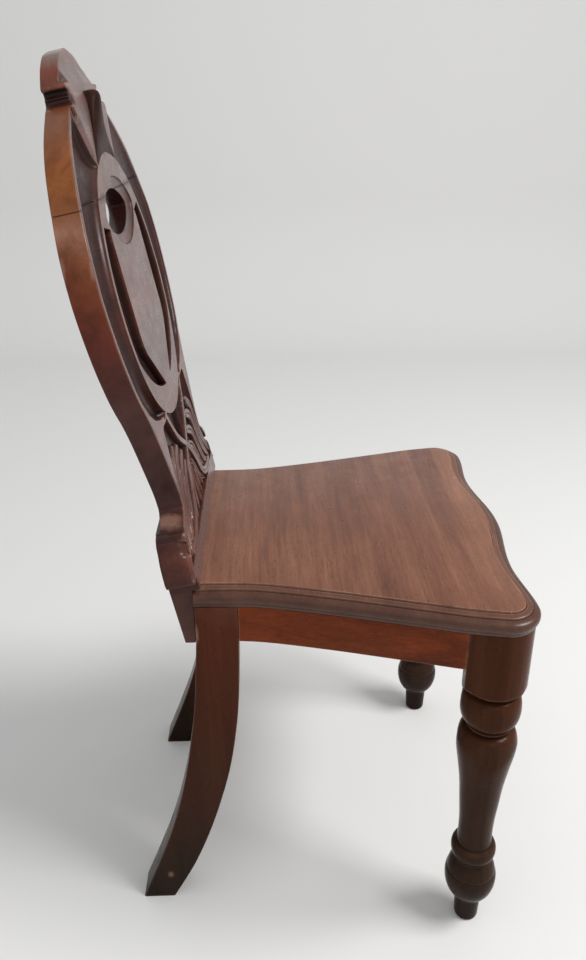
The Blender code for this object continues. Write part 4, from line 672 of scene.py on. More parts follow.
ear = smooth_line(np.array(EAR_LINE) * (FRAME_HALF_WIDTH, FRAME_TOP), 4)
crease = np.exp(-((np.arange(len(ear)) - EAR_CREASE_POINT) / 1.1) ** 2)[:, None]
ear = inset_line(ear, EAR_CREASE_DEPTH) * crease + ear * (1 - crease)
frame_side = smooth_line(np.array(FRAME_LINE) * (FRAME_HALF_WIDTH, FRAME_TOP), 14)
half_outline = np.vstack([ear[:-1], frame_side, smooth_line(CREST_COVE, 2)[:-1], smooth_line(CREST_LINE, 7)])
outline_loop = np.vstack([half_outline, half_outline[::-1] * (-1, 1)])

# The sunk groove between the frame, the tongue and the ring
tongue_angle = math.degrees(math.atan2(TONGUE_HEAD[1] - RING_CENTRE, TONGUE_HEAD[0]))
groove_outer = []
for turn in np.linspace(0, 1, 220):
    angle = math.radians(GROOVE_FOOT_ANGLE + (tongue_angle - GROOVE_FOOT_ANGLE) * turn)
    ray = np.array([[math.cos(angle), math.sin(angle)]])
    inset = ray_reach(outline_loop - (0, RING_CENTRE), ray)[0] - from_table(MARGIN, turn)
    reach = RING_OUTER + (inset - RING_OUTER) * from_table(GROOVE_LINE, turn)
    groove_outer.append(ray[0] * reach + (0, RING_CENTRE))
groove_outer = smooth_line(np.array(groove_outer)[::6], 6)
ring_top_angle = math.degrees(math.acos(TONGUE_FOOT[0] / RING_OUTER))
ring_outside = circle_arc(RING_CENTRE, RING_OUTER, ring_top_angle, GROOVE_FOOT_ANGLE, 200)
tongue_edge = np.array([groove_outer[-1], ring_outside[0]])
groove_loop = np.vstack([groove_outer, even_line(tongue_edge, 0.0015)[1:-1], ring_outside[:-1]])

# The sunk crescent between the ring and the shield
meet_rise = (RING_INNER ** 2 - RING_FOOT_RADIUS ** 2 + (RING_FOOT_CENTRE - RING_CENTRE) ** 2) / (
    2 * (RING_FOOT_CENTRE - RING_CENTRE))
meet_x = math.sqrt(RING_INNER ** 2 - meet_rise ** 2)
taper_start = SHIELD_TIP_HEIGHT + (SHIELD_HALF_WIDTH - SHIELD_TIP_HALF_WIDTH) * 0.895
shield_side = even_line([(SHIELD_HALF_WIDTH - inset, up) for inset, up in (
    (0.004, SHIELD_TOP_HEIGHT + 0.004), (0.0012, SHIELD_TOP_HEIGHT), (0, SHIELD_TOP_HEIGHT - 0.006),
    (0, taper_start + 0.012), (0.002, taper_start + 0.003), (0.0075, taper_start - 0.006),
    (SHIELD_HALF_WIDTH - SHIELD_TIP_HALF_WIDTH, SHIELD_TIP_HEIGHT))], 0.0012)
recess_wall = np.vstack([
    circle_arc(RING_FOOT_CENTRE, RING_FOOT_RADIUS, -math.degrees(math.acos(SHIELD_TIP_HALF_WIDTH / RING_FOOT_RADIUS)),
               math.degrees(math.atan2(RING_CENTRE + meet_rise - RING_FOOT_CENTRE, meet_x)), 70)[:-1],
    circle_arc(RING_CENTRE, RING_INNER, math.degrees(math.atan2(meet_rise, meet_x)),
               math.degrees(math.asin(RECESS_HEAD_HALF_WIDTH / RING_INNER)), 130)])
recess_loop = np.vstack([recess_wall, shield_side[:-1]])

# The sunk ground of the carved base, the dished rim of the hand-hold and the hand-hold itself
ground_edge = smooth_line(GROUND_EDGE, 10)
ground_foot = even_line([GROUND_EDGE[-1], (0, PLAIN_BAND_TOP)], 0.0015)
ground_loop = np.vstack([circle_arc(RING_CENTRE, RING_OUTER, -90, -62.5, 50), ground_edge, ground_foot[1:]])
stem = smooth_line(STEM_LINE, 10)
dish_edge = pointed_oval(DISH_HALF_WIDTH, DISH_HALF_HEIGHT, 120)
hole_edge = pointed_oval(HOLE_HALF_WIDTH, HOLE_HALF_HEIGHT, 100)


def stem_half_width(share):
    """Half the stem's width, which swells toward the crossing."""
    return STEM_HALF_WIDTH * (1 + STEM_SWELL * ease(share, 0.35, 0.62))


def carved_relief(spot, ground):
    """How high the stems and leaves stand above the base's sunk ground."""
    relief = np.zeros(len(spot))
    for mirror in (1, -1):
        away, share = line_reach(spot, stem * (mirror, 1))
        half_width = stem_half_width(share)
        vein = 0.10 * np.exp(-(away / VEIN_WIDTH) ** 2) * ease(share, 0.30, 0.50)
        side = 1 - ease(away, half_width - 0.0007, half_width + 0.0011)
        relief = np.maximum(relief, ground * (1 - 0.05 * (away / half_width) ** 2 - vein) * side)
    for half_width, height, spine in LEAVES:
        away, share = line_reach(spot, smooth_line(spine, 8))
        reach = half_width * np.sqrt(np.maximum(0, np.sin(np.pi * np.clip(0.10 + 0.89 * share, 0, 1)))) + 1e-6
        across = away / reach
        body = np.maximum(0, 1 - across ** 3) ** 0.5 * (0.80 + 0.20 * ease(across, 0.0, 0.50))
        vein = 0.20 * np.exp(-(away / VEIN_WIDTH) ** 2) * ease(share, 0.02, 0.2) * (1 - ease(share, 0.75, 0.95))
        relief = np.maximum(relief, np.minimum(ground, height) * (body - vein) * (0.92 + 0.08 * share))
    return relief


def face_depth(places):
    """How far the carved face lies behind the front plane."""
    x, up = places[:, 0], places[:, 1]
    above = up - FRAME_TOP
    stepped = from_table(CREST_FACE, above)
    swept = np.minimum(stepped, CREST_SHELF) + CREST_SLOPE * ease(above, CREST_SLOPE_FOOT, CREST_SLOPE_TOP)
    setback = swept + (stepped - swept) * ease(np.abs(x), 0.052, 0.061)
    rim_sink = from_table(MARGIN_SINK, up) * ease(np.hypot(x, up - RING_CENTRE) - RING_OUTER, 0.0005, 0.012)
    tongue_half = np.interp(up, [TONGUE_FOOT[1], TONGUE_HEAD[1], 0.4440, 0.4590],
                            [TONGUE_FOOT[0], TONGUE_HEAD[0], 0.0620, 0.0600])
    blend = 0.0001 + 0.0040 * ease(up, 0.4385, 0.4430)
    depth = setback + rim_sink * np.clip((np.abs(x) - tongue_half + blend) / (2 * blend), 0, 1)

    sunk = within(places, groove_loop)
    from_frame, from_ring, from_tongue = (away_from(places[sunk], line)
                                          for line in (groove_outer, ring_outside, tongue_edge))
    width = from_frame + from_ring
    across = from_frame / np.maximum(width, 1e-6)
    hollow = np.where(across < GROOVE_DEEPEST, cove(across / GROOVE_DEEPEST),
                      cove((1 - across) / (1 - GROOVE_DEEPEST)))
    deep = GROOVE_DEPTH * np.minimum(1, width / GROOVE_FULL_WIDTH) * hollow * cove(from_tongue / 0.004)
    depth[sunk] = np.maximum(depth[sunk], deep)

    sunk = within(places, recess_loop)
    sides = [away_from(places[sunk], recess_wall), away_from(places[sunk], shield_side),
             np.maximum(0, recess_loop[:, 1].max() - up[sunk])]
    walls = np.prod([np.minimum(1, side / WALL_RUN) for side in sides], axis=0)
    depth[sunk] = RECESS_DEPTH * walls * (0.80 + 0.20 * cove(np.min(sides, axis=0) / 0.0035))

    oval = within(places, np.vstack([dish_edge, dish_edge[::-1] * (-1, 1)]))
    from_dish, to_hole = (away_from(places[oval], line) for line in (dish_edge, hole_edge))
    depth[oval] = DISH_DEPTH * cove(from_dish / np.maximum(from_dish + to_hole, 1e-6) * 0.92)

    sunk = within(places, ground_loop)
    spot = places[sunk]
    ground = GROUND_DEPTH * cove(np.minimum(away_from(spot, ground_loop) / 0.0030,
                                            away_from(spot, ground_edge) / 0.0075))
    depth[sunk] = np.maximum(0, ground - carved_relief(spot, ground))
    return depth


def rear_depth(up, lower):
    """How far the rear lies behind the front plane. The lower board is thicker at its base."""
    return BACK_THICKNESS + (BASE_THICKNESS - BACK_THICKNESS) * (1 - ease(up, BASE_TOP - BASE_STEP, BASE_TOP)) * lower


def on_back(x, up, depth):
    """A place on the back, leaning with it, in the chair's own coordinates."""
    return (x, BACK_FOOT_Y + up * math.sin(BACK_LEAN) + depth * math.cos(BACK_LEAN),
            SEAT_TOP + up * math.cos(BACK_LEAN) - depth * math.sin(BACK_LEAN))


def along_back(points, foot_y=BACK_FOOT_Y):
    """The X, height up the front plane and depth behind it of points in the chair's own coordinates."""
    points = np.array(points) - (0, foot_y, SEAT_TOP)
    return (points[:, 0], points[:, 1] * math.sin(BACK_LEAN) + points[:, 2] * math.cos(BACK_LEAN),
            points[:, 1] * math.cos(BACK_LEAN) - points[:, 2] * math.sin(BACK_LEAN))


def base_rear_up(z):
    """How high up the back its base's rear comes to a given level of the chair."""
    return (z - SEAT_TOP + BASE_THICKNESS * math.sin(BACK_LEAN)) / math.cos(BACK_LEAN)


def filled(loop, lines, spots):
    """Flat triangles filling a closed loop, keeping its lines and spots."""
    points = [tuple(p) for p in loop]
    edges = [(k, (k + 1) % len(loop)) for k in range(len(loop))]
    for line in lines:
        edges += [(len(points) + k, len(points) + k + 1) for k in range(len(line) - 1)]
        points += [tuple(p) for p in line]
    points += [tuple(p) for p in spots]
    flat, _, faces = delaunay_2d_cdt([Vector(p) for p in points], edges, [], 0, 1e-7)[:3]
    flat, faces = np.array([tuple(p) for p in flat]), np.array(faces)
    return flat, faces[within(flat[faces].mean(axis=1), loop)]


def parts_of(line, loop, margin=0.0003):
    """The parts of a line that lie inside a loop, clear of its edge."""
    clear = within(line, loop) & (away_from(line, closed(loop)) > margin)
    runs = np.split(np.arange(len(line)), np.flatnonzero(np.diff(clear.astype(int))) + 1)
    return [line[run] for run in runs if clear[run[0]] and len(run) > 1]


def grid_in(loop, low, high, step, margin=0.0008):
    """Staggered spots inside a loop, between two heights and clear of its edge."""
    rows = [(np.arange(step * (0.25 + 0.5 * (k % 2)), loop[:, 0].max(), step), up)
            for k, up in enumerate(np.arange(low, high, step * 0.866))]
    spots = np.vstack([np.stack([xs, np.full(len(xs), up)], 1) for xs, up in rows])
    spots = spots[within(spots, loop)]
    return spots[away_from(spots, closed(loop)) > margin]


def eased_ring(line, inward, radii, share):
    """The line moved in along its inward directions for a share of a quarter round, and how deep that lies."""
    turn_by = math.radians(90 * share)
    return line + inward * (radii * (1 - math.sin(turn_by)))[:, None], radii * (1 - math.cos(turn_by))


def back_board(outer, inward, front_radii, rear_radii, inner_front, inner_rear, lower, spots):
    """One board: carved face, eased edges, sawn sides and rear, made for one half. The lower one has screw wells."""
    bm = bmesh.new()

    def add_faces(points, faces):
        made = [bm.verts.new(point) for point in points]
        for face in faces:
            bm.faces.new([made[k] for k in face])

    front_edge, _ = eased_ring(outer, inward, front_radii, 0)
    front_face_depth = face_depth(front_edge)
    rings = []
    for share in EDGE_STEPS:
        ring, drop = eased_ring(outer, inward, front_radii, share)
        rings.append([on_back(x, up, depth) for (x, up), depth in zip(ring, front_face_depth + drop)])
    for share in EDGE_STEPS[::-1]:
        ring, drop = eased_ring(outer, inward, rear_radii, share)
        rings.append([on_back(x, up, depth) for (x, up), depth in zip(ring, rear_depth(ring[:, 1], lower) - drop)])
    count = len(outer)
    add_faces([point for ring in rings for point in ring],
              [(r * count + k, r * count + k + 1, (r + 1) * count + k + 1, (r + 1) * count + k)
               for r in range(len(rings) - 1) for k in range(count - 1)])

    front_loop = np.vstack([front_edge, inner_front])
    flat, faces = filled(front_loop, [part for line in detail for part in parts_of(line, front_loop)], spots)
    add_faces([on_back(x, up, depth) for (x, up), depth in zip(flat, face_depth(flat))], faces)

    rear_loop = np.vstack([eased_ring(outer, inward, rear_radii, 0)[0], inner_rear])
    wells, lines = [], []
    if lower:
        well_up = base_rear_up(WELL_Z)
        turns = np.linspace(0, 2 * math.pi, WELL_SIDES + 1)
        wells = [WELL_RADIUS * np.stack([np.cos(turns), np.sin(turns)], 1) + (x, well_up) for x in WELL_XS]
        lines = [part for k in range(4) for part in parts_of(np.stack(
            [np.linspace(0.0004, 0.16, 90), np.full(90, BASE_TOP - k * BASE_STEP / 3)], 1), rear_loop)]
    flat, faces = filled(rear_loop, lines + wells,
                         grid_in(rear_loop, rear_loop[:, 1].min(), rear_loop[:, 1].max(), 0.012, 0.002))
    for well in wells:
        faces = faces[~within(flat[faces].mean(axis=1), well)]
        add_faces([on_back(x, up, BASE_THICKNESS - drop) for drop in (0, WELL_DEPTH) for x, up in well[:-1]],
                  [(k, (k + 1) % WELL_SIDES, WELL_SIDES + (k + 1) % WELL_SIDES, WELL_SIDES + k)
                   for k in range(WELL_SIDES)] + [tuple(range(WELL_SIDES, 2 * WELL_SIDES))])
    add_faces([on_back(x, up, depth) for (x, up), depth in zip(flat, rear_depth(flat[:, 1], lower))], faces)
    return bm


def back_painted_shade(mesh):
    """How much painted shade each point of the back gets: in the sunk parts, under the crest's lip, inside the
    hand-hold, on the ears and on the tail.
    """
    x, up, depth = along_back([v.co for v in mesh.vertices])
    x = np.abs(x)
    flat = np.stack([x, up], 1)
    # Painted shade in the groove, the recess and the carved base, deeper where they are sunk deeper
    shades = [within(flat, loop) * (depth < 0.0115) * ease(depth, 0.0010, 0.0052)
              for loop in (groove_loop, recess_loop, ground_loop)]
    # Painted shade under the crest's lip
    shades.append((x > 0.062) * ease(up, 0.4395, 0.4440) * (1 - ease(up, 0.4532, 0.4550)))
    # Painted shade inside the hand-hold
    shades.append((away_from(flat, hole_edge) < 0.0005) * (depth > 0.001))
    # Painted shade on the rounded ears
    shades.append(0.45 * ease(x, 0.118, 0.130) * (1 - ease(up, 0.0520, 0.0600)) * (depth > 0.0008))
    # Painted shade on the tail below the ears
    shades.append(0.75 * (1 - ease(up, 0.0120, 0.0140)) * ease(x, 0.140, 0.146) * (depth < 0.027))
    return np.max(shades, axis=0)


def other_back_finishes(mesh, shade):
    """The sawn edges and the sunk carving, picked out from the front and rear faces."""
    normals = np.array([face.normal for face in mesh.polygons])
    facing = np.abs(normals[:, 1] * math.cos(BACK_LEAN) - normals[:, 2] * math.sin(BACK_LEAN))
    # Faces under heavy painted shade take the sunk finish, the ears and the tail among them
    sunk = np.array([shade[list(face.vertices)].mean() for face in mesh.polygons]) > 0.30
    x, up, depth = along_back([face.center for face in mesh.polygons])
    flat = np.stack([np.abs(x), up], 1)
    carved = (away_from(flat, dish_edge) < 0.0012) | (away_from(flat, tongue_edge) < 0.0020)
    for loop in (groove_loop, recess_loop, ground_loop):
        carved |= within(flat, loop) | (away_from(flat, closed(loop)) < 0.0006)
    steep = facing < 0.6
    walls = steep & carved & (depth < 0.0125)
    return [(edge_finish, steep & ~sunk & ~walls), (sunk_finish, sunk | walls)]


def finish_board(half, name, node_name):
    """Mirrors a half board into one closed piece, and darkens the glue joint's arrises with old polish."""
    copy = bmesh.ops.duplicate(half, geom=half.verts[:] + half.edges[:] + half.faces[:])["geom"]
    bmesh.ops.scale(half, vec=(-1, 1, 1), verts=[item for item in copy if isinstance(item, bmesh.types.BMVert)])
    bmesh.ops.remove_doubles(half, verts=half.verts[:], dist=0.000012)
    bmesh.ops.recalc_face_normals(half, faces=half.faces[:])
    mesh = bpy.data.meshes.new(name)
    half.to_mesh(mesh)
    half.free()
    shade = back_painted_shade(mesh)
    piece = chair_piece(name, mesh, back_finish, [node_name], 42, shade,
                        other_back_finishes(mesh, shade))
    up = along_back([v.co for v in piece.data.vertices], BACK_FOOT_Y + LEG_AXIS_Y)[1]
    marks = piece.data.attributes["wear"].data
    for k in np.flatnonzero(np.abs(up - JOINT_HEIGHT) < 0.0006):
        marks[k].value = -0.30


def inward_from(line, radii):
    """The directions in from a line, drawn together where a sharp corner leaves no room."""
    targets = line + left_of(line) * radii[:, None]
    roomy = np.flatnonzero(away_from(targets, line) > 0.96 * radii)
    nearest = roomy[np.abs(np.arange(len(line))[:, None] - roomy[None]).argmin(axis=1)]
    return (targets[nearest] - line) / radii[:, None]


joint_x = float(np.interp(JOINT_HEIGHT, frame_side[:, 1], frame_side[:, 0]))
lower_joint, upper_joint = JOINT_HEIGHT - JOINT / 2, JOINT_HEIGHT + JOINT / 2
hole_fine = even_line(hole_edge, 0.0009)
crossing = int(np.argmax(hole_fine[:, 1] < JOINT_HEIGHT))
joint_hole_x = hole_fine[crossing, 0]
joint_line = even_line([(joint_x, 0), (joint_hole_x, 0)], 0.0016)[1:-1]
hole_upper = np.vstack([hole_fine[:crossing], (joint_hole_x, upper_joint)])
hole_lower = np.vstack([(joint_hole_x, lower_joint), hole_fine[crossing + 1:]])
hole_upper[0, 0] = hole_lower[-1, 0] = 0
ear_and_frame = even_line(cut_line(half_outline[:len(ear) + len(frame_side) - 1], 1, 0, lower_joint), 0.0014)
crown = even_line(np.vstack([[(joint_x, upper_joint)], half_outline[half_outline[:, 1] > JOINT_HEIGHT + 0.001]]),
                  0.0013)
crown[-1, 0] = 0
# The lower board ends in a thin horn between the glue joint and the hand-hold, so its edges are hardly eased there
horn_side = hole_fine[(hole_fine[:, 1] > HOLE_CENTRE) & (hole_fine[:, 1] < JOINT_HEIGHT)]
horn_line, horn_arc, horn_rear = (
    np.clip(HORN_SHARE * (lower_joint - up), THINNEST_ARRIS, widest) for up, widest in (
        (np.interp(joint_line[:, 0], horn_side[:, 0], horn_side[:, 1]), JOINT_ARRIS), (hole_lower[:, 1], HOLE_ARRIS),
        (hole_lower[:, 1], HOLE_REAR_ROUND)))

# Lines that the face's triangles follow: each carved edge, and how far to its left the lines beside it lie
WALL_LINES = (-0.0004, 0.0, 0.0003, 0.0007, 0.0015, 0.0035)
detail = [inset_line(line, distance) for line, distances in (
    (groove_outer, (-0.0004, 0.0, 0.0002, 0.0007, 0.0016, 0.0032, 0.0056)),
    (ring_outside, (-0.0003, 0.0, 0.0002, 0.0006, 0.0013, 0.0026, 0.0045)),
    (even_line(tongue_edge, 0.0015), (-0.0003, 0.0, 0.0003, 0.0010, 0.0022, 0.0045)),
    (recess_wall, WALL_LINES), (shield_side, WALL_LINES), (dish_edge, (0.0004, 0.0, -0.0002, -0.0007, -0.0016)),
    (ground_loop, (0.0004, 0.0, -0.0002, -0.0006, -0.0013, -0.0024))) for distance in distances]
stem_half = stem_half_width(np.linspace(0, 1, len(stem)))[:, None]
detail += [inset_line(stem, side * (stem_half + distance)) * (mirror, 1)
           for mirror in (1, -1) for side in (1, -1) for distance in (-0.0007, 0.0, 0.0011)]
recess_top = even_line([recess_wall[-1], shield_side[0]], 0.0015)
detail += [inset_line(recess_top, distance) for distance in (-0.0004, 0.0, 0.0004, 0.0008, 0.002)]


def detail_spots(low, high, loop):
    """Spots to carry the carving: close in the base and on the crest, wider on the coves, wide on the flats."""
    half_dish = np.vstack([dish_edge, (0, dish_edge[-1, 1])])
    spots = [grid_in(sunk, bottom, top, step, margin) for sunk, bottom, top, step, margin in (
        (ground_loop, PLAIN_BAND_TOP, 0.16, 0.00125, 0.0004), (groove_loop, low, high, 0.0036, 0.0004),
        (recess_loop, low, high, 0.0040, 0.0012), (half_dish, low, high, 0.0022, 0.0004),
        (loop, 0.432, 0.4685, 0.0019, 0.0008))]
    flats = grid_in(loop, low, high, 0.0070)
    for taken in (ground_loop, groove_loop, recess_loop):
        flats = flats[~within(flats, taken)]
    spots = np.vstack([*spots, flats])
    spots = spots[within(spots, loop)]
    return spots[away_from(spots, closed(loop)) > 0.0009]


# Tones of its sawn edge by height, painted light and shade: near black at the foot, red in the middle, a pale band
# and orange under the crest where the light falls from above, greyer at the top
EDGE_TONES = ((0.44, (0.040, 0.019, 0.014)), (0.53, (0.046, 0.016, 0.012)), (0.63, (0.066, 0.020, 0.015)),
              (0.69, (0.100, 0.019, 0.011)), (0.735, (0.140, 0.036, 0.013)), (0.755, (0.190, 0.062, 0.026)),
              (0.769, (0.270, 0.125, 0.082)), (0.786, (0.215, 0.075, 0.024)), (0.815, (0.215, 0.068, 0.017)),
              (0.850, (0.165, 0.056, 0.022)), (0.872, (0.125, 0.031, 0.016)), (0.887, (0.160, 0.040, 0.020)),
              (0.895, (0.165, 0.100, 0.080)), (0.905, (0.175, 0.125, 0.105)))
# Spots on the back: rubbed wear at the crest and on the near edge, and a pale spot of painted reflection on the
# shoulder
BACK_RUBS_AND_REFLECTION = (((-0.030, 0.203, 0.9045), (0.016, 0.005, 0.006), 0.7),
             ((-0.1785, 0.194, 0.742), (0.008, 0.003, 0.018), 0.5),
             ((-0.180, 0.170, 0.747), (0.008, 0.003, 0.010), 0.5),
             ((-0.123, 0.131, 0.4935), (0.013, 0.016, 0.008), 0.5))
BACK_TONES = (0.140, 0.040, 0.025), (0.090, 0.026, 0.018), (0.044, 0.015, 0.012)
BACK_WORN = (0.32, 0.17, 0.12)
back_finish = polished_mahogany("back_mahogany", 0, *BACK_TONES, BACK_WORN, 0.27, -BACK_LEAN, shine=0.50,
                                rubs_and_reflections=BACK_RUBS_AND_REFLECTION[:1], bloom=0.28)
# The sawn edges take the tones by height, which paint light and shade, and the spots, one of them a painted
# reflection
edge_finish = polished_mahogany("back_edge_mahogany", 0, *BACK_TONES, BACK_WORN, 0.18, -BACK_LEAN, shine=0.18,
                                light_by_height=EDGE_TONES, rubs_and_reflections=BACK_RUBS_AND_REFLECTION)
sunk_finish = polished_mahogany("back_sunk_mahogany", 0, *BACK_TONES, (0.22, 0.10, 0.07), 0.28, -BACK_LEAN,
                                shine=0.22)

# Upper board. The hand-hold is rounded over at the rear, less and less toward the glue joint.
upper_outer = np.vstack([hole_upper, joint_line[::-1] + (0, upper_joint), crown])
upper_radii = np.repeat((HOLE_ARRIS, JOINT_ARRIS, FACE_ARRIS), (len(hole_upper), len(joint_line), len(crown)))
upper_inward = np.vstack([inward_from(hole_upper, upper_radii[:len(hole_upper)]),
                          np.tile((0.0, 1.0), (len(joint_line), 1)), inward_from(crown, upper_radii[-len(crown):])])
upper_inward[0], upper_inward[-1] = (0, 1), (0, -1)
upper_inward[len(hole_upper) + len(joint_line)] = (-1, 0)
upper_rear_radii = upper_radii * 0.8
upper_rear_radii[:len(hole_upper)] = 0.0005 + 0.0040 * ease(hole_upper[:, 1] - upper_joint, 0.0, 0.0025)
upper_middle, upper_rear_middle = (
    even_line([(0, crown[-1, 1] - above), (0, hole_upper[0, 1] + below)], 0.0016)[1:-1]
    for above, below in ((FACE_ARRIS, HOLE_ARRIS), (REAR_ARRIS, HOLE_REAR_ROUND)))
upper_front = np.vstack([upper_outer + upper_inward * upper_radii[:, None], upper_middle])
finish_board(back_board(upper_outer, upper_inward, upper_radii, upper_rear_radii, upper_middle, upper_rear_middle, 0,
                        detail_spots(JOINT_HEIGHT, 0.49, upper_front)), "back_crown_board", "back_upper_board")

# Lower board, with its tail
tail_side = np.array([(TAIL_HALF_WIDTH + out, up) for out, up in (
    (0, JOINT), (0, 0.005), (0, 0.009), (0, 0.0132), (0.001, 0.0136), (0.005, 0.0127))])
lower_outer = np.vstack([tail_side, ear_and_frame, joint_line + (0, lower_joint), hole_lower])
ear_round = EAR_ROUND * ease(ear_and_frame[:, 1], 0.0125, 0.0185) * (1 - ease(ear_and_frame[:, 1], 0.0530, 0.0610))
lower_radii = np.concatenate([np.full(len(tail_side), TAIL_ARRIS), FACE_ARRIS + ear_round, horn_line, horn_arc])
rim_count = len(tail_side) + len(ear_and_frame)
lower_inward = np.vstack([inward_from(lower_outer[:rim_count], lower_radii[:rim_count]),
                          np.tile((0.0, -1.0), (len(joint_line), 1)), inward_from(hole_lower, horn_arc)])
lower_inward[0], lower_inward[rim_count - 1], lower_inward[-1] = (-1, 0), (-1, 0), (0, -1)
lower_rear_radii = np.where(lower_radii > TAIL_ARRIS, REAR_ARRIS, lower_radii)
lower_rear_radii[-len(hole_lower):] = horn_rear
tail_foot = base_rear_up(RAIL_BOTTOM)
foot_xs = np.linspace(0, TAIL_HALF_WIDTH - TAIL_ARRIS, 60)
lower_middle = np.vstack([even_line([(0, hole_lower[-1, 1] - HOLE_ARRIS), (0, JOINT)], 0.0014)[1:-1],
                          np.stack([foot_xs[:-1], np.full(len(foot_xs) - 1, JOINT)], 1)])
lower_front = np.vstack([lower_outer + lower_inward * lower_radii[:, None], lower_middle])
lower_rear_middle = np.vstack([even_line([(0, hole_lower[-1, 1] - HOLE_REAR_ROUND), (0, tail_foot)], 0.006)[1:-1],
                               np.stack([foot_xs, np.full(len(foot_xs), tail_foot)], 1)])
lower_board = back_board(lower_outer, lower_inward, lower_radii, lower_rear_radii, lower_middle, lower_rear_middle, 1,
                         detail_spots(0.0, JOINT_HEIGHT, lower_front))
tail_rows = [[(x, y, z) for x in foot_xs] for _, y, z in (
    on_back(0, JOINT, 0), (0, TAIL_FRONT_Y, SEAT_TOP + JOINT), (0, TAIL_FRONT_Y, RAIL_BOTTOM),
    on_back(0, tail_foot, BASE_THICKNESS))]
for above, below in zip(tail_rows, tail_rows[1:]):
    corners = [[lower_board.verts.new(point) for point in row] for row in (above, below)]
    for k in range(len(foot_xs) - 1):
        lower_board.faces.new((corners[0][k], corners[0][k + 1], corners[1][k + 1], corners[1][k]))
flank = []
for radii, steps, start, sign in ((lower_radii, EDGE_STEPS, 0, 1),
                                  (lower_rear_radii, EDGE_STEPS[::-1], BASE_THICKNESS, -1)):
    for share in steps:
        ring, drop = eased_ring(lower_outer[:1], lower_inward[:1], radii[:1], share)
        flank.append(on_back(*ring[0], start + sign * drop[0]))
flank += [row[-1] for row in tail_rows[:0:-1]]
lower_board.faces.new([lower_board.verts.new(point) for point in flank])
finish_board(lower_board, "back_carved_board", "back_lower_board")

# Roll: a half-round mahogany moulding glued down the tongue. It is high and narrow at its domed top, then spreads
# and flattens toward its foot, which is scribed to the ring.
ROLL_TOP_HALF_WIDTH, ROLL_FOOT_HALF_WIDTH = 0.0120, 0.0462
ROLL_TOP_HEIGHT, ROLL_FOOT_HEIGHT = 0.0126, 0.0009
ROLL_TOP, ROLL_LIP = 0.4522, 0.0006
# Shares of its length, from the foot up, and of its full width there
ROLL_STATIONS = ((0.000, 0.985), (0.010, 1.000), *((place, 1.0) for place in (
    0.06, 0.12, 0.18, 0.25, 0.32, 0.40, 0.48, 0.56, 0.66)), (0.76, 0.999), (0.81, 0.990), (0.85, 0.972),
    (0.885, 0.940), (0.915, 0.89), (0.942, 0.82), (0.963, 0.73), (0.98, 0.61), (0.992, 0.45), (1.0, 0.20))
roll_rings = []
for place, swell in ROLL_STATIONS:
    half_width = (ROLL_TOP_HALF_WIDTH + (ROLL_FOOT_HALF_WIDTH - ROLL_TOP_HALF_WIDTH) * (1 - place) ** 1.6) * swell
    height = (ROLL_FOOT_HEIGHT + (ROLL_TOP_HEIGHT - ROLL_FOOT_HEIGHT) * place ** 1.15) * swell
    turns = np.radians(np.linspace(0, 180, 37))
    xs = half_width * np.cos(turns)
    foot = RING_CENTRE + np.sqrt((RING_OUTER + ROLL_LIP) ** 2 - xs ** 2)
    ups = foot + (ROLL_TOP - foot) * place
    depths = np.concatenate([-ROLL_LIP - (height - ROLL_LIP) * np.sin(turns) ** 0.9,
                             face_depth(np.stack([xs * 0, ups[::-1]], 1)) - JOINT])
    xs, ups = np.concatenate([xs, xs[::-1]]), np.concatenate([ups, ups[::-1]])
    roll_rings.append([on_back(x, up, depth) for x, up, depth in zip(xs, ups, depths)])
roll_finish = polished_mahogany("roll_mahogany", 2, (0.044, 0.019, 0.014), (0.030, 0.013, 0.010),
                                (0.016, 0.007, 0.005), (0.09, 0.05, 0.035), 0.30, -BACK_LEAN, shine=0.02)
chair_piece("tongue_roll", ring_loft("tongue_roll", roll_rings), roll_finish, ["crest_roll"], 45)

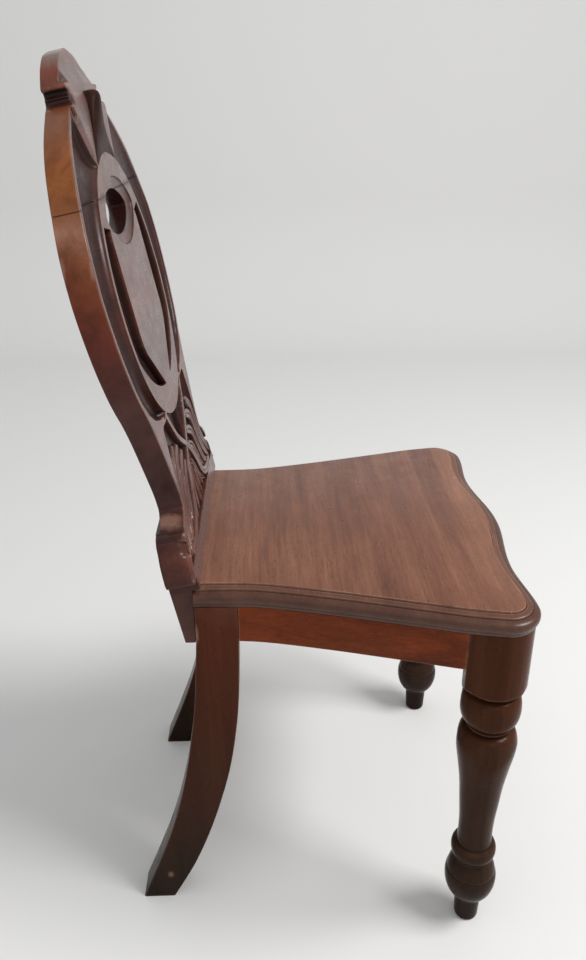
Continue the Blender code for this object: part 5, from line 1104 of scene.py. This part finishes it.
# Studio: a plain pale floor that sweeps up into a plain pale wall, one large soft lamp and a dim pale sky.
# Seen from below, the floor is left out, so that the underside of the chair can be looked at.
FLOOR_REACH = 5.0
WALL_X, WALL_HEIGHT, SWEEP = 2.6, 3.2, 0.5
FLOOR_COLOUR, FLOOR_ROUGHNESS = (0.72, 0.71, 0.69, 1), 0.9
SKY_COLOUR, SKY_STRENGTH = (0.95, 0.97, 1.0, 1), 0.71
LAMP_WIDTH, LAMP_DEPTH, LAMP_WATTS = 1.1, 0.7, 57
LAMP_PLACE, LAMP_AIM = Vector((-0.5, -1.6, 2.3)), Vector((0, 0, 0.4))

sweep = [(-FLOOR_REACH, 0.0)] + [(WALL_X - SWEEP + SWEEP * math.sin(a), SWEEP - SWEEP * math.cos(a))
                                 for a in np.radians(np.linspace(0, 90, 25))] + [(WALL_X, WALL_HEIGHT)]
floor_mesh = bpy.data.meshes.new("studio_floor")
floor_mesh.from_pydata([(x, y, z) for y in (-FLOOR_REACH, FLOOR_REACH) for x, z in sweep], [],
                       [(k, k + 1, len(sweep) + k + 1, len(sweep) + k) for k in range(len(sweep) - 1)])
floor_mesh.shade_smooth()
floor = bpy.data.objects.new("studio_floor", floor_mesh)
bpy.context.scene.collection.objects.link(floor)
floor_paint = bpy.data.materials.new("studio_floor_paint")
floor_paint.use_nodes = True
tree = floor_paint.node_tree
paint = tree.nodes["Principled BSDF"]
paint.inputs["Base Color"].default_value = FLOOR_COLOUR
paint.inputs["Roughness"].default_value = FLOOR_ROUGHNESS
clear_below = add_node(tree, "MixShader", None, i0=add_node(tree, "NewGeometry").outputs["Backfacing"],
                       i1=paint.outputs[0], i2=add_node(tree, "BsdfTransparent").outputs[0])
tree.links.new(clear_below.outputs[0], tree.nodes["Material Output"].inputs[0])
floor_mesh.materials.append(floor_paint)

world = bpy.data.worlds.new("studio_sky")
world.use_nodes = True
sky = world.node_tree.nodes["Background"].inputs
sky["Color"].default_value, sky["Strength"].default_value = SKY_COLOUR, SKY_STRENGTH
bpy.context.scene.world = world

lamp_data = bpy.data.lights.new("soft_lamp", "AREA")
lamp_data.shape = "RECTANGLE"
lamp_data.size, lamp_data.size_y = LAMP_WIDTH, LAMP_DEPTH
lamp_data.energy = LAMP_WATTS
lamp = bpy.data.objects.new("soft_lamp", lamp_data)
lamp.location = LAMP_PLACE
lamp.rotation_euler = (LAMP_AIM - LAMP_PLACE).to_track_quat("-Z", "Y").to_euler()
bpy.context.scene.collection.objects.link(lamp)
